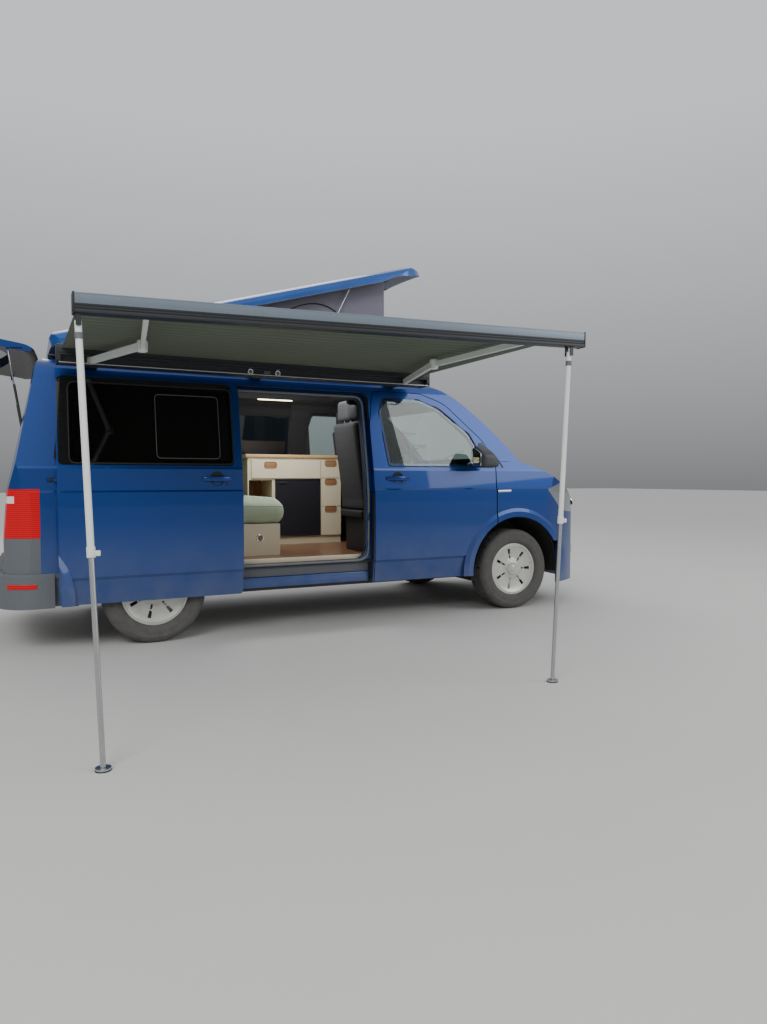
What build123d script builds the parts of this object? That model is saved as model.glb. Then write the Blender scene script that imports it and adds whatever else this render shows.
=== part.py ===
from build123d import *
from copy import deepcopy
from math import cos, radians, sin, tan
import os

os.makedirs("parts", exist_ok=True)

# A compact camper van: panel van body, lifting roof raised, tailgate and side door open,
# awning out on the right side. Sizes are in millimetres. The van is drawn on its own ground
# centre, midway between the axles, X forward, Y to the left, Z up, and is written with the
# origin under the middle of everything, awning and tailgate included.

# Stance
wheelbase = 3000
track = 1628
tyre_radius = 343
rim_radius = 222
front_axle = wheelbase / 2
rear_axle = -wheelbase / 2
axle_height = tyre_radius

# Body shell
body_half = 952
wall = 50
door_wall = 44
wing_wall = 12
inner_frame = 95
shut_gap = 6
seat_gap = 0.3
sill_bottom = 300
form_bottom = -300
floor_top = 500
crease_low = 480
crease_side = 1035
belt = 1200
gutter_half = 806
gutter_height = 1846
roof_crown = 1950
nose_x = 2408
nose_bottom = 250
tail_x = -2460
cowl_x, cowl_z = 1700, 1262
header_x, header_z = 1100, 1786
bonnet_front_x, bonnet_front_z = 2200, 1052
nose_bow = 3600
bow_spread = 40
tail_bow = 7000
arch_radius = 455
flare_radius = 538
flare_out = 12
wheelhouse_inner = 490
wheelhouse_sheet = 12
bulkhead_x = 1340
side_half = 764
bumper_top = 519
lamp_front_x, lamp_low, lamp_high = -2202, 745, 1058

# Glass
glass_depth = 3
glass_thick = 5.7
rebate_depth = 9
rebate_width = 22

# Side doors
door_rear_x, door_front_x = 152, 1287
door_bottom, door_top = 312, 1815
slider_rear_x, slider_front_x = -1060, 138
slider_bottom, slider_top = 306, 1800
slider_travel = 1046
slider_out = 68
slider_frame = 46

# Tailgate
tailgate_half_low, tailgate_half_high = 792, 742
tailgate_bottom = 528
tailgate_front_x = -2172
tailgate_pivot_z = roof_crown + 6
tailgate_open = 86

# Lifting roof
roof_hole_rear_x, roof_hole_front_x = -2010, 408
roof_hole_half = 590
roof_rim_top = 1966
roof_rim_wall = 22
roof_pivot_x, roof_pivot_z = -2387, 1950
roof_open = 16.1
cap_front_x, cap_rear_x = 905, -2101
cap_half = 715
cap_under = 1972
cap_skirt = 1928

# Awning
awning_rear_x, awning_front_x = -2090, 550
awning_reach_y = -2800
rail_rear_z = 1788
rail_half = 30
awning_tilt = 1.55

# Middle of everything, on the van's own ground centre
origin_x, origin_y = -602, -962


def grown(outline, distance):
    """An outline made larger or smaller all round, drawn again as plain lines and arcs"""
    if distance == 0:
        return outline
    with BuildSketch() as changed:
        add(outline)
        offset(amount=distance, kind=Kind.TANGENT)
    with BuildSketch() as redrawn:
        with BuildLine():
            for edge in changed.sketch.wires()[0].order_edges():
                if edge.geom_type == GeomType.LINE:
                    Line(edge @ 0, edge @ 1)
                else:
                    ThreePointArc(edge @ 0, edge @ 0.5, edge @ 1)
        make_face()
    return redrawn.sketch


def rounded(rows):
    """A closed outline of straight runs from a table of x, z and corner radius"""
    with BuildSketch() as outline:
        with BuildLine():
            FilletPolyline(*[(x, z) for x, z, radius in rows],
                           radius=[radius for x, z, radius in rows], close=True)
        make_face()
    return outline.sketch


# Forms of the body


def nose_outline(inset):
    """The side view of what lies ahead of and above the screen, bonnet and nose"""
    top, clear = roof_crown + 10, 2400
    with BuildSketch() as outline:
        with BuildLine():
            TangentArc((430, top), (header_x, header_z), tangent=(1, 0))
            ThreePointArc((header_x, header_z), (1415, 1540), (cowl_x, cowl_z))
            ThreePointArc((cowl_x, cowl_z), (1965, 1178), (bonnet_front_x, bonnet_front_z))
            ThreePointArc((bonnet_front_x, bonnet_front_z), (2318, 945), (2375, 800))
            Polyline((2375, 800), (nose_x, 620), (nose_x, 430), (nose_x - 60, nose_bottom),
                     (nose_x - 60, -clear), (2 * clear, -clear), (2 * clear, clear), (430, clear),
                     (430, top))
        make_face()
    return grown(outline.sketch, inset)


def tail_outline(inset):
    """The side view of what lies behind and above the rear end"""
    top, clear = roof_crown + 10, 2400
    return grown(rounded([
        (-2 * clear, clear, 0), (-2 * clear, -clear, 0), (tail_x, -clear, 0), (tail_x, 760, 300),
        (tail_x + 24, 1060, 300), (tail_x + 62, 1220, 500), (tail_x + 226, top, 150),
        (tail_x + 420, top, 0), (tail_x + 420, clear, 0)]), inset)


def end_outline(inset):
    """The cross-section: sill, creases, belt, leaning glass, gutter and crowned roof"""
    with BuildSketch() as outline:
        with BuildLine():
            Polyline((0, form_bottom), (body_half - 40, form_bottom), (body_half - 40, sill_bottom),
                     (body_half - 18, crease_low - 12), (body_half - 6, crease_low + 8))
            ThreePointArc((body_half - 6, crease_low + 8), (body_half, 800), (body_half - 2, crease_side))
            Polyline((body_half - 2, crease_side), (body_half - 12, crease_side + 12),
                     (body_half - 22, belt - 12), (body_half - 27, belt + 4),
                     (gutter_half + 8, gutter_height - 30), (gutter_half, gutter_height))
            ThreePointArc((gutter_half, gutter_height), (gutter_half - 60, 1893), (gutter_half - 160, 1919))
            ThreePointArc((gutter_half - 160, 1919), (330, 1942), (0, roof_crown))
            Line((0, roof_crown), (0, form_bottom))
        make_face()
        mirror(about=Plane.YZ)
        if inset:
            offset(amount=-inset, kind=Kind.TANGENT)
    return outline.sketch


def plan_outline(inset):
    """The plan view, with rounded nose and tail corners"""
    side = body_half + 4
    with BuildSketch() as outline:
        with BuildLine():
            Polyline((-2600, 0), (-2600, 700), (-2410, 860))
            ThreePointArc((-2410, 860), (-2330, 925), (-2200, side))
            Line((-2200, side), (1450, side))
            ThreePointArc((1450, side), (1960, 915), (2240, 770))
            ThreePointArc((2240, 770), (2330, 650), (2370, 470))
            Polyline((2370, 470), (2600, 300), (2600, 0), (-2600, 0))
        make_face()
        mirror(about=Plane.XZ)
        if inset:
            offset(amount=-inset, kind=Kind.TANGENT)
    return outline.sketch


def bowed_end(outline, bow_x):
    """What is cut away at one end: its side view turned about a far upright axis"""
    spread = radians(bow_spread)
    start = Plane((bow_x, 0, 0), x_dir=(cos(spread), -sin(spread), 0),
                  z_dir=(-sin(spread), -cos(spread), 0))
    with BuildPart() as end:
        with BuildSketch(start):
            with Locations((-bow_x, 0)):
                add(outline)
        revolve(axis=Axis((bow_x, 0, 0), (0, 0, 1)), revolution_arc=2 * bow_spread)
    return end.part


def body_form(inset):
    """The outside of the body, set in evenly by a distance"""
    nose = bowed_end(nose_outline(inset), nose_x - nose_bow)
    tail = bowed_end(tail_outline(inset), tail_x + tail_bow)
    section, plan = end_outline(inset), plan_outline(inset)
    with BuildPart() as body:
        with BuildSketch(Plane.YZ.offset(-3000)):
            add(section)
        extrude(amount=6000)
        with BuildSketch(Plane.XY.offset(-1000)):
            add(plan)
        extrude(amount=4000, mode=Mode.INTERSECT)
        add(nose, mode=Mode.SUBTRACT)
        add(tail, mode=Mode.SUBTRACT)
    return body.part


depths = (glass_depth, glass_depth + glass_thick, rebate_depth, wing_wall, door_wall, wall, inner_frame)
form = {depth: body_form(depth) for depth in (0, *depths)}

# Flares stand round the arches
with BuildPart() as flares:
    for axle in (front_axle, rear_axle):
        with BuildSketch(Plane((axle, 0, axle_height))):
            for side in (-1, 1):
                with BuildLine():
                    Polyline((arch_radius - 1, side * (body_half - 80)),
                             (arch_radius - 1, side * (body_half + flare_out)),
                             (arch_radius + 45, side * (body_half + flare_out)),
                             (flare_radius, side * (body_half - 4)),
                             (flare_radius, side * (body_half - 80)), close=True)
                make_face()
        revolve(axis=Axis((axle, 0, axle_height), (0, 1, 0)))
    with Locations((0, 0, sill_bottom + 1000)):
        Box(6000, 3000, 2000, mode=Mode.INTERSECT)

with BuildPart() as skin:
    add(form[0])
    add(flares.part)

form[0] = skin.part


def layer(top, depth, outline, plane, reach):
    """The piece of the body wall between two depths that lies under an outline"""
    with BuildPart() as piece:
        with BuildSketch(plane):
            add(outline)
        extrude(amount=reach)
        add(deepcopy(form[top]), mode=Mode.INTERSECT)
        add(deepcopy(form[depth]), mode=Mode.SUBTRACT)
    return piece.part


def prism(outline, plane, reach):
    """An outline run straight through the body"""
    with BuildPart() as run:
        with BuildSketch(plane):
            add(outline)
        extrude(amount=reach)
    return run.part


right_side = Plane.XZ.offset(500)
both_sides = Plane.XZ.offset(-1100)
ahead = Plane.YZ.offset(600)
behind = Plane.YZ.offset(-3000)
side_reach = 600

# Outlines in side view, as x, z and corner radius
front_door_edge = rounded([
    (door_rear_x, door_bottom, 20), (door_rear_x - 14, 1540, 400), (door_rear_x + 28, door_top, 60),
    (610, door_top, 160), (830, 1742, 300), (1170, 1450, 400), (door_front_x, 1285, 60),
    (door_front_x, door_bottom, 20)])
front_door_pane = rounded([
    (278, 1222, 30), (225, 1640, 60), (262, 1768, 50), (590, 1766, 160), (775, 1702, 200),
    (1050, 1500, 90), (1118, 1380, 60), (1087, 1252, 40), (1040, 1222, 30)])
slider_edge = rounded([
    (slider_rear_x, slider_bottom, 25), (slider_rear_x, slider_top, 60),
    (slider_front_x, slider_top, 60), (slider_front_x, slider_bottom, 25)])
slider_pane = rounded([
    (slider_rear_x + 78, 1224, 40), (slider_rear_x + 78, 1752, 50),
    (slider_front_x - 62, 1752, 50), (slider_front_x - 62, 1224, 40)])
slider_hole = rounded([
    (slider_rear_x + slider_frame, floor_top - 2, 90), (slider_rear_x + slider_frame, slider_top - 40, 70),
    (slider_front_x - slider_frame, slider_top - 40, 70), (slider_front_x - slider_frame, floor_top - 2, 90)])
front_door_hole = rounded([
    (door_rear_x + 60, floor_top - 2, 60), (door_rear_x + 52, 1540, 400),
    (door_rear_x + 84, door_top - 45, 60),
    (600, door_top - 45, 120), (800, 1705, 300), (1120, 1430, 300), (door_front_x - 100, 1285, 60),
    (door_front_x - 100, 800, 60), (1030, floor_top - 2, 60)])
rear_pane = rounded([
    (-2120, 1226, 50), (-2068, 1740, 50), (slider_rear_x - 76, 1748, 50), (slider_rear_x - 76, 1226, 40)])

# Outlines in end view, as y, z and corner radius
screen_edge = rounded([(-775, 1296, 60), (775, 1296, 60), (672, 1772, 70), (-672, 1772, 70)])
tailgate_edge = rounded([
    (-tailgate_half_low, tailgate_bottom, 40), (tailgate_half_low, tailgate_bottom, 40),
    (tailgate_half_low, 1060, 600), (tailgate_half_high, 1860, 120), (tailgate_half_high - 30, 2100, 5),
    (-tailgate_half_high + 30, 2100, 5), (-tailgate_half_high, 1860, 120), (-tailgate_half_low, 1060, 600)])
tailgate_pane = rounded([(-690, 1250, 60), (690, 1250, 60), (640, 1780, 70), (-640, 1780, 70)])

wheels = [  # name, axle x, side
    ("front_right", front_axle, -1), ("front_left", front_axle, 1),
    ("rear_right", rear_axle, -1), ("rear_left", rear_axle, 1)]


def rooms_round_wheels(radius, inner):
    """The space round every wheel, open below and outwards"""
    with BuildPart() as rooms:
        for name, axle, side in wheels:
            with BuildSketch(Plane.XZ.offset(-side * inner)):
                with Locations((axle, axle_height)):
                    Circle(radius)
                with Locations((axle, axle_height - 400)):
                    Rectangle(2 * radius, 800)
            extrude(amount=-side * 700)
    return rooms.part


wheel_rooms = rooms_round_wheels(arch_radius, wheelhouse_inner)
wheelhouses = rooms_round_wheels(arch_radius + wheelhouse_sheet, wheelhouse_inner - wheelhouse_sheet)

# Hollow of the cab and load space
with BuildPart() as cabin_room:
    add(deepcopy(form[wall]))
    with BuildSketch(Plane.XZ.offset(-1000)):
        Polygon((-3000, floor_top), (bulkhead_x, floor_top), (bulkhead_x, 1150), (1560, 1180),
                (1760, 1230), (1760, 2100), (-3000, 2100), align=None)
    extrude(amount=2000, mode=Mode.INTERSECT)
    add(wheelhouses, mode=Mode.SUBTRACT)

# Hollow of the engine bay
with BuildPart() as engine_room:
    add(deepcopy(form[wing_wall]))
    with BuildSketch(Plane.XZ.offset(-1000)):
        Polygon((bulkhead_x + 40, 200), (2290, 200), (2290, 760), (2190, 1000), (2120, 1110), (1660, 1290),
                (1500, 1140), (bulkhead_x + 40, 1110), align=None)
    extrude(amount=2000, mode=Mode.INTERSECT)
    add(wheelhouses, mode=Mode.SUBTRACT)

# The outer wall of the whole body, from which the panels are cut
with BuildPart() as outer:
    add(deepcopy(form[0]))
    add(deepcopy(form[wall]), mode=Mode.SUBTRACT)
    add(wheel_rooms, mode=Mode.SUBTRACT)


def cut_pane(panel, outline, plane, reach):
    """A panel with a rebate for its pane and a hole through, and the pane itself"""
    rebate = layer(0, rebate_depth, outline, plane, reach)
    hole = grown(outline, -rebate_width)
    pane = layer(glass_depth, glass_depth + glass_thick, grown(outline, -seat_gap), plane, reach)
    with BuildPart() as cut:
        add(panel)
        add(rebate, mode=Mode.SUBTRACT)
        with BuildSketch(plane):
            add(hole)
        extrude(amount=reach, mode=Mode.SUBTRACT)
    return cut.part, pane


pieces = {}


def keep(label, part):
    """Names a finished piece and keeps it for writing"""
    part.label = label
    pieces[label] = part


def mirrored(part):
    """The same piece on the other side of the van"""
    with BuildPart() as other:
        mirror(part, about=Plane.XZ)
    return other.part


def joined(*parts):
    """Several bodies as one part"""
    with BuildPart() as whole:
        for each in parts:
            add(each)
    return whole.part


def less_wheel_rooms(part):
    """A panel cut back at the wheel arches"""
    with BuildPart() as cut:
        add(part)
        add(wheel_rooms, mode=Mode.SUBTRACT)
    return cut.part


# Front doors and the sliding door
door_blank = layer(0, door_wall, grown(front_door_edge, -shut_gap / 2), right_side, side_reach)
door_leaf = less_wheel_rooms(door_blank)
door_right, door_glass = cut_pane(door_leaf, front_door_pane, right_side, side_reach)
keep("front_door_window_right", door_glass)
keep("front_door_window_left", mirrored(door_glass))

slider_leaf = layer(0, door_wall, grown(slider_edge, -shut_gap / 2), right_side, side_reach)
slider_closed, slider_glass = cut_pane(slider_leaf, slider_pane, right_side, side_reach)
slider_open = Location((-slider_travel, -slider_out, 0))
keep("sliding_door_window", slider_glass.moved(slider_open))

# Tailgate, drawn closed
tail_leaf = layer(0, door_wall, grown(tailgate_edge, -shut_gap / 2), behind, 3000 + tailgate_front_x)
tailgate_closed, tail_glass = cut_pane(tail_leaf, tailgate_pane, behind, 3000 + tailgate_front_x - 60)
tailgate_swing = Axis((tailgate_front_x + 2, 0, tailgate_pivot_z), (0, 1, 0))
keep("tailgate_window", tail_glass.rotate(tailgate_swing, tailgate_open))

# Outlines of the front end
bonnet_low = 985
with BuildSketch() as bonnet_plan:
    with BuildLine():
        ThreePointArc((1640, -800), (1742, 0), (1640, 800))
        Polyline((1640, 800), (2060, 748), (2260, 640), (2310, 520), (2600, 480), (2600, -480),
                 (2310, -520), (2260, -640), (2060, -748), (1640, -800))
    make_face()
lamp_side = rounded([
    (1822, 1032, 8), (1995, 872, 40), (2090, 834, 200), (2600, 800, 5), (2600, 1100, 5), (2040, 1100, 60)])
bumper_side = rounded([
    (1950, 200, 5), (1950, 660, 60), (2004, 866, 5), (2600, 866, 5), (2600, 200, 5)])
grille_front = rounded([(-530, 872, 12), (530, 872, 12), (530, 979, 12), (-530, 979, 12)])
wing_side = rounded([
    (door_front_x + shut_gap, 200, 5), (door_front_x + shut_gap, 1268, 20), (2600, 1268, 5), (2600, 200, 5)])
lamp_half = 536
lamp_depth = wall
bonnet_plane = Plane.XY.offset(bonnet_low)


def gap_round(outline, plane, reach):
    """What a panel with its gap all round takes out of its neighbours"""
    return prism(grown(outline, shut_gap / 2), plane, reach)


bonnet = layer(0, wing_wall, grown(bonnet_plan.sketch, -shut_gap / 2), bonnet_plane, 400)
bonnet_gap = gap_round(bonnet_plan.sketch, bonnet_plane, 400)
grille_gap = prism(grown(grille_front, seat_gap), ahead, 2200)
lamp_block = layer(0, lamp_depth, lamp_side, both_sides, 2200)
with BuildPart() as lamps:
    add(lamp_block)
    with Locations((2000, 0, 1000)):
        Box(2000, 2 * lamp_half, 1000, mode=Mode.SUBTRACT)
    add(bonnet_gap, mode=Mode.SUBTRACT)
lamp_gap = prism(grown(lamp_side, seat_gap), both_sides, 2200)
bumper_skin = layer(0, wing_wall, bumper_side, both_sides, 2200)
with BuildPart() as front_bumper:
    add(bumper_skin)
    add(wheel_rooms, mode=Mode.SUBTRACT)
    add(lamp_gap, mode=Mode.SUBTRACT)
    add(grille_gap, mode=Mode.SUBTRACT)
    for z in (398, 435, 472, 509):
        with Locations((nose_x, 0, z)):
            Box(300, 1180, 23, mode=Mode.SUBTRACT)
bumper_gap = gap_round(bumper_side, both_sides, 2200)
wing_skin = layer(0, wing_wall, wing_side, both_sides, 2200)
with BuildPart() as wings:
    add(wing_skin)
    add(wheel_rooms, mode=Mode.SUBTRACT)
    for gap in (bumper_gap, lamp_gap, bonnet_gap, grille_gap):
        add(gap, mode=Mode.SUBTRACT)
    with Locations((1400, 0, 1000)):
        Box(500, 1600, 1000, mode=Mode.SUBTRACT)
    with Locations((2000, 0, 1000)):
        Box(2000, 1000, 1400, mode=Mode.SUBTRACT)
    with Locations((2000, 0, 430)):
        Box(400, 3000, 300, mode=Mode.SUBTRACT)
wing_gap = gap_round(wing_side, both_sides, 2200)

keep("bonnet", bonnet)
keep("front_wings", joined(*wings.part.solids().sort_by(SortBy.VOLUME)[-2:]))
keep("front_bumper", front_bumper.part)
keep("headlamps", lamps.part)

# Grille with slats between the lamps
grille_block = layer(glass_depth, wall, grille_front, ahead, 2200)
with BuildPart() as grille:
    add(grille_block)
    for z in (894, 925, 956):
        with Locations((nose_x, 0, z)):
            Box(300, 1000, 18, mode=Mode.SUBTRACT)
keep("grille", grille.part)

# Screen
screen = layer(glass_depth, glass_depth + glass_thick, grown(screen_edge, -seat_gap), ahead, 1400)
screen_rebate = layer(0, rebate_depth, screen_edge, ahead, 1400)
keep("windscreen", screen)
screen_hole = prism(grown(screen_edge, -rebate_width), ahead, 1400)
tailgate_gap = prism(grown(tailgate_edge, shut_gap / 2), behind, 3000 + tailgate_front_x + shut_gap)
door_gap = gap_round(front_door_edge, right_side, side_reach)
slider_gap = gap_round(slider_edge, right_side, side_reach)

# Where the roof panel meets the side panels and the screen
with BuildPart() as roof_zone:
    with Locations((-300, 0, 1940)):
        Box(3732, 2 * side_half, 320)
    with Locations((700, 0, 1850)):
        Box(1732, 1280, 300)

# What the lamps and the bumper take out of the side panels at the rear
with BuildPart() as rear_zone:
    with Locations((lamp_front_x - 500, 0, lamp_high / 2)):
        Box(1000, 3000, lamp_high)
    with Locations((-2987, 0, bumper_top / 2)):
        Box(2000, 3000, bumper_top)

# Roof panel with its opening and raised rim
roof_hole_length = roof_hole_front_x - roof_hole_rear_x
roof_hole_middle = (roof_hole_front_x + roof_hole_rear_x) / 2
strut_low = (-273, 625, 1955)
with BuildPart() as roof_panel:
    add(deepcopy(outer.part))
    add(roof_zone.part, mode=Mode.INTERSECT)
    for gap in (screen_rebate, screen_hole, tailgate_gap):
        add(gap, mode=Mode.SUBTRACT)
    with BuildSketch(Plane((roof_hole_middle, 0, 1905))):
        RectangleRounded(roof_hole_length + 2 * roof_rim_wall, 2 * (roof_hole_half + roof_rim_wall), 60)
    extrude(amount=roof_rim_top - 1905)
    with BuildSketch(Plane((roof_hole_middle, 0, 1800))):
        RectangleRounded(roof_hole_length, 2 * roof_hole_half, 40)
    extrude(amount=300, mode=Mode.SUBTRACT)
    for side in (-1, 1):
        with BuildSketch(Plane.XZ.offset(-side * 605)):
            with Locations((strut_low[0], strut_low[2])):
                Circle(3)
        extrude(amount=-side * 29)
keep("roof_panel", roof_panel.part)


def side_blank(post_rear_x, holes, gaps):
    """The right side panel before its windows are cut, with the door frame inside it"""
    frame_rear_x = slider_rear_x - 100
    with BuildPart() as frame:
        with Locations(((frame_rear_x + bulkhead_x) / 2, -850, floor_top + 700)):
            Box(bulkhead_x - frame_rear_x, 300, 1400)
        add(deepcopy(form[wall]), mode=Mode.INTERSECT)
        add(deepcopy(form[inner_frame]), mode=Mode.SUBTRACT)
        for hole in holes:
            with BuildSketch(right_side):
                add(hole)
            extrude(amount=side_reach, mode=Mode.SUBTRACT)
        add(screen_hole, mode=Mode.SUBTRACT)
        add(wheelhouses, mode=Mode.SUBTRACT)
        with Locations((post_rear_x - 1000, -850, floor_top + 700)):
            Box(2000, 600, 1600, mode=Mode.SUBTRACT)
    with BuildPart() as blank:
        add(deepcopy(outer.part))
        with Locations((-300, -840, 1220)):
            Box(4400, 400, 1800, mode=Mode.INTERSECT)
        for gap in gaps:
            add(gap, mode=Mode.SUBTRACT)
        add(frame.part)
    return blank.part


# Side panels: the right one round the sliding door, the left one with a fixed pane there
tail_strut_low = (-2270, 740, 1306)
panel_gaps = (roof_zone.part, screen_rebate, screen_hole, tailgate_gap, door_gap, wing_gap, rear_zone.part)
with BuildPart() as sill_zone:
    with Locations((0, 0, 160)):
        Box(2200, 3000, 320)
right_blank = side_blank(slider_rear_x - 100, (slider_hole, front_door_hole),
                         (*panel_gaps, slider_gap, sill_zone.part))
left_blank = side_blank(50, (front_door_hole,), (*panel_gaps, sill_zone.part))
right_panel, quarter_pane = cut_pane(right_blank, rear_pane, right_side, side_reach)
left_panel, fixed_pane = cut_pane(left_blank, rear_pane, right_side, side_reach)
left_panel, middle_pane = cut_pane(left_panel, slider_pane, right_side, side_reach)
rail_z = 1115
with BuildPart() as right_side_panel:
    add(right_panel)
    with Locations(((-2150 + slider_rear_x) / 2, -950, rail_z)):
        Box(slider_rear_x + 2150 + 20, 50, 30, mode=Mode.SUBTRACT)
with BuildPart() as side_windows:
    add(quarter_pane)
    add(mirrored(fixed_pane))
    add(mirrored(middle_pane))
keep("side_windows", side_windows.part)

# Scuttle strip between bonnet and screen
with BuildPart() as scuttle:
    add(deepcopy(outer.part))
    with Locations((1700, 0, 1260)):
        Box(280, 1270, 200, mode=Mode.INTERSECT)
    for gap in (bonnet_gap, screen_rebate, screen_hole):
        add(gap, mode=Mode.SUBTRACT)
keep("scuttle", scuttle.part)

# Floor, sills, bulkhead and wheelhouses in one welded shell
with BuildPart() as front_liners:
    add(wheelhouses)
    add(deepcopy(form[wing_wall]), mode=Mode.INTERSECT)
    with Locations((door_front_x + shut_gap + 500, 0, 800)):
        Box(1000, 3000, 1000, mode=Mode.INTERSECT)
with BuildPart() as underbody:
    add(deepcopy(form[wall]))
    add(cabin_room.part, mode=Mode.SUBTRACT)
    add(engine_room.part, mode=Mode.SUBTRACT)
    with Locations((-515, 0, 300)):
        Box(3710, 1490, 340, mode=Mode.SUBTRACT)
    with Locations((0, -955, 300), (0, 955, 300)):
        Box(2092, 200, 340, mode=Mode.SUBTRACT)
    add(front_liners.part)
    with Locations((1850, -455, 430), (1850, 455, 430)):
        Box(960, 50, 100)
    add(wheel_rooms, mode=Mode.SUBTRACT)
    with Locations((0, 0, 1300)):
        Box(6000, 3000, 2000, mode=Mode.INTERSECT)
keep("underbody", underbody.part)

# Rear bumper with its corners, and the lamps above them
with BuildSketch() as bumper_plan:
    with BuildLine():
        Polyline((-2125, 0), (-2125, 962), (-2200, 966))
        ThreePointArc((-2200, 966), (-2380, 915), (-2455, 780))
        ThreePointArc((-2455, 780), (-2486, 400), (-2496, 0))
        Line((-2496, 0), (-2125, 0))
    make_face()
    mirror(about=Plane.XZ)
with BuildPart() as rear_bumper:
    with BuildSketch(Plane.XY.offset(297)):
        add(bumper_plan.sketch)
    extrude(amount=bumper_top - 297)
    chamfer(edges().group_by(Axis.Z)[-1].filter_by(lambda e: e.center().X < -2130), 12)
    add(deepcopy(form[wall]), mode=Mode.SUBTRACT)
with BuildPart() as bumper_corners:
    add(deepcopy(outer.part))
    with Locations((-2400, 0, (bumper_top + lamp_low) / 2)):
        Box(2 * (2400 + lamp_front_x - seat_gap), 2000, lamp_low - bumper_top, mode=Mode.INTERSECT)
    add(tailgate_gap, mode=Mode.SUBTRACT)
with BuildPart() as bumper_sides:
    add(deepcopy(outer.part))
    with Locations((-2057, 0, (bumper_top + sill_bottom) / 2)):
        Box(140, 3000, bumper_top - sill_bottom, mode=Mode.INTERSECT)
with BuildPart() as bumper_whole:
    add(rear_bumper.part)
    add(bumper_corners.part)
    add(bumper_sides.part)
keep("rear_bumper", bumper_whole.part)
with BuildPart() as tail_lamps:
    add(deepcopy(outer.part))
    with Locations((-2400, 0, (lamp_high + lamp_low) / 2)):
        Box(2 * (2400 + lamp_front_x - seat_gap), 2000, lamp_high - lamp_low - 0.6, mode=Mode.INTERSECT)
    add(tailgate_gap, mode=Mode.SUBTRACT)
keep("tail_lamps", tail_lamps.part)


def bar(start, end, wide, high):
    """A straight bar of rectangular section between two points"""
    run = Vector(*end) - Vector(*start)
    across = Vector(0, 1, 0) if abs(run.X) > abs(run.Y) else Vector(1, 0, 0)
    with BuildPart() as piece:
        with BuildSketch(Plane(start, x_dir=across - run * (across.dot(run) / run.dot(run)), z_dir=run)):
            Rectangle(wide, high)
        extrude(amount=run.length)
    return piece.part


def tube(start, end, radius, bore=0):
    """A round bar or tube between two points"""
    run = Vector(*end) - Vector(*start)
    across = Vector(0, 1, 0) if abs(run.X) > abs(run.Y) else Vector(1, 0, 0)
    with BuildPart() as piece:
        with BuildSketch(Plane(start, x_dir=across - run * (across.dot(run) / run.dot(run)), z_dir=run)):
            Circle(radius)
            if bore:
                Circle(bore, mode=Mode.SUBTRACT)
        extrude(amount=run.length)
    return piece.part


def block(x_min, x_max, y_min, y_max, z_min, z_max):
    """A plain block between its limits"""
    with BuildPart() as piece:
        with Locations(((x_min + x_max) / 2, (y_min + y_max) / 2, (z_min + z_max) / 2)):
            Box(x_max - x_min, y_max - y_min, z_max - z_min)
    return piece.part


def side_view(points, y_min, y_max):
    """A side outline of x and z points run across the van"""
    with BuildPart() as piece:
        with BuildSketch(Plane.XZ.offset(-y_max)):
            Polygon(*points, align=None)
        extrude(amount=y_max - y_min)
    return piece.part


# Rear pillar struts of the tailgate
tail_strut_high = (-2170, 740, 1760)
tailgate_point = Vector(tail_strut_high[0] - (tailgate_front_x + 2), 0, tail_strut_high[2] - tailgate_pivot_z)
turn = radians(tailgate_open)
tail_strut_raised = (
    tailgate_front_x + 2 + tailgate_point.X * cos(turn) + tailgate_point.Z * sin(turn), 740,
    tailgate_pivot_z - tailgate_point.X * sin(turn) + tailgate_point.Z * cos(turn))
strut_radius, strut_bore, rod_radius = 8, 4.5, 4


def strut(low, high, closed_length, side):
    """Barrel and rod of a gas strut, drawn out between two points"""
    start = Vector(low[0], side * low[1], low[2])
    run = Vector(high[0], side * high[1], high[2]) - start
    along = run.normalized()
    barrel_end = closed_length - 34
    with BuildPart() as barrel:
        add(tube(start + along * 6, start + along * barrel_end, strut_radius))
        add(tube(start + along * 40, start + along * barrel_end, strut_bore), mode=Mode.SUBTRACT)
        add(tube(start - Vector(0, 7, 0), start + Vector(0, 7, 0), 8))
        add(tube(start - Vector(0, 9, 0), start + Vector(0, 9, 0), 3.3), mode=Mode.SUBTRACT)
    rod_start = run.length - (closed_length - 60)
    with BuildPart() as rod:
        add(tube(start + along * rod_start, start + along * (run.length - 5), rod_radius))
        add(tube(start + run - Vector(0, 7, 0), start + run + Vector(0, 7, 0), 7))
        add(tube(start + run - Vector(0, 9, 0), start + run + Vector(0, 9, 0), 3.3), mode=Mode.SUBTRACT)
    return barrel.part, rod.part


tail_strut_closed = (Vector(*tail_strut_high) - Vector(*tail_strut_low)).length
tail_struts = [strut(tail_strut_low, tail_strut_raised, tail_strut_closed, side) for side in (-1, 1)]
keep("tailgate_strut_barrels", joined(*[barrel for barrel, rod in tail_struts]))
keep("tailgate_strut_rods", joined(*[rod for barrel, rod in tail_struts]))

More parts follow.
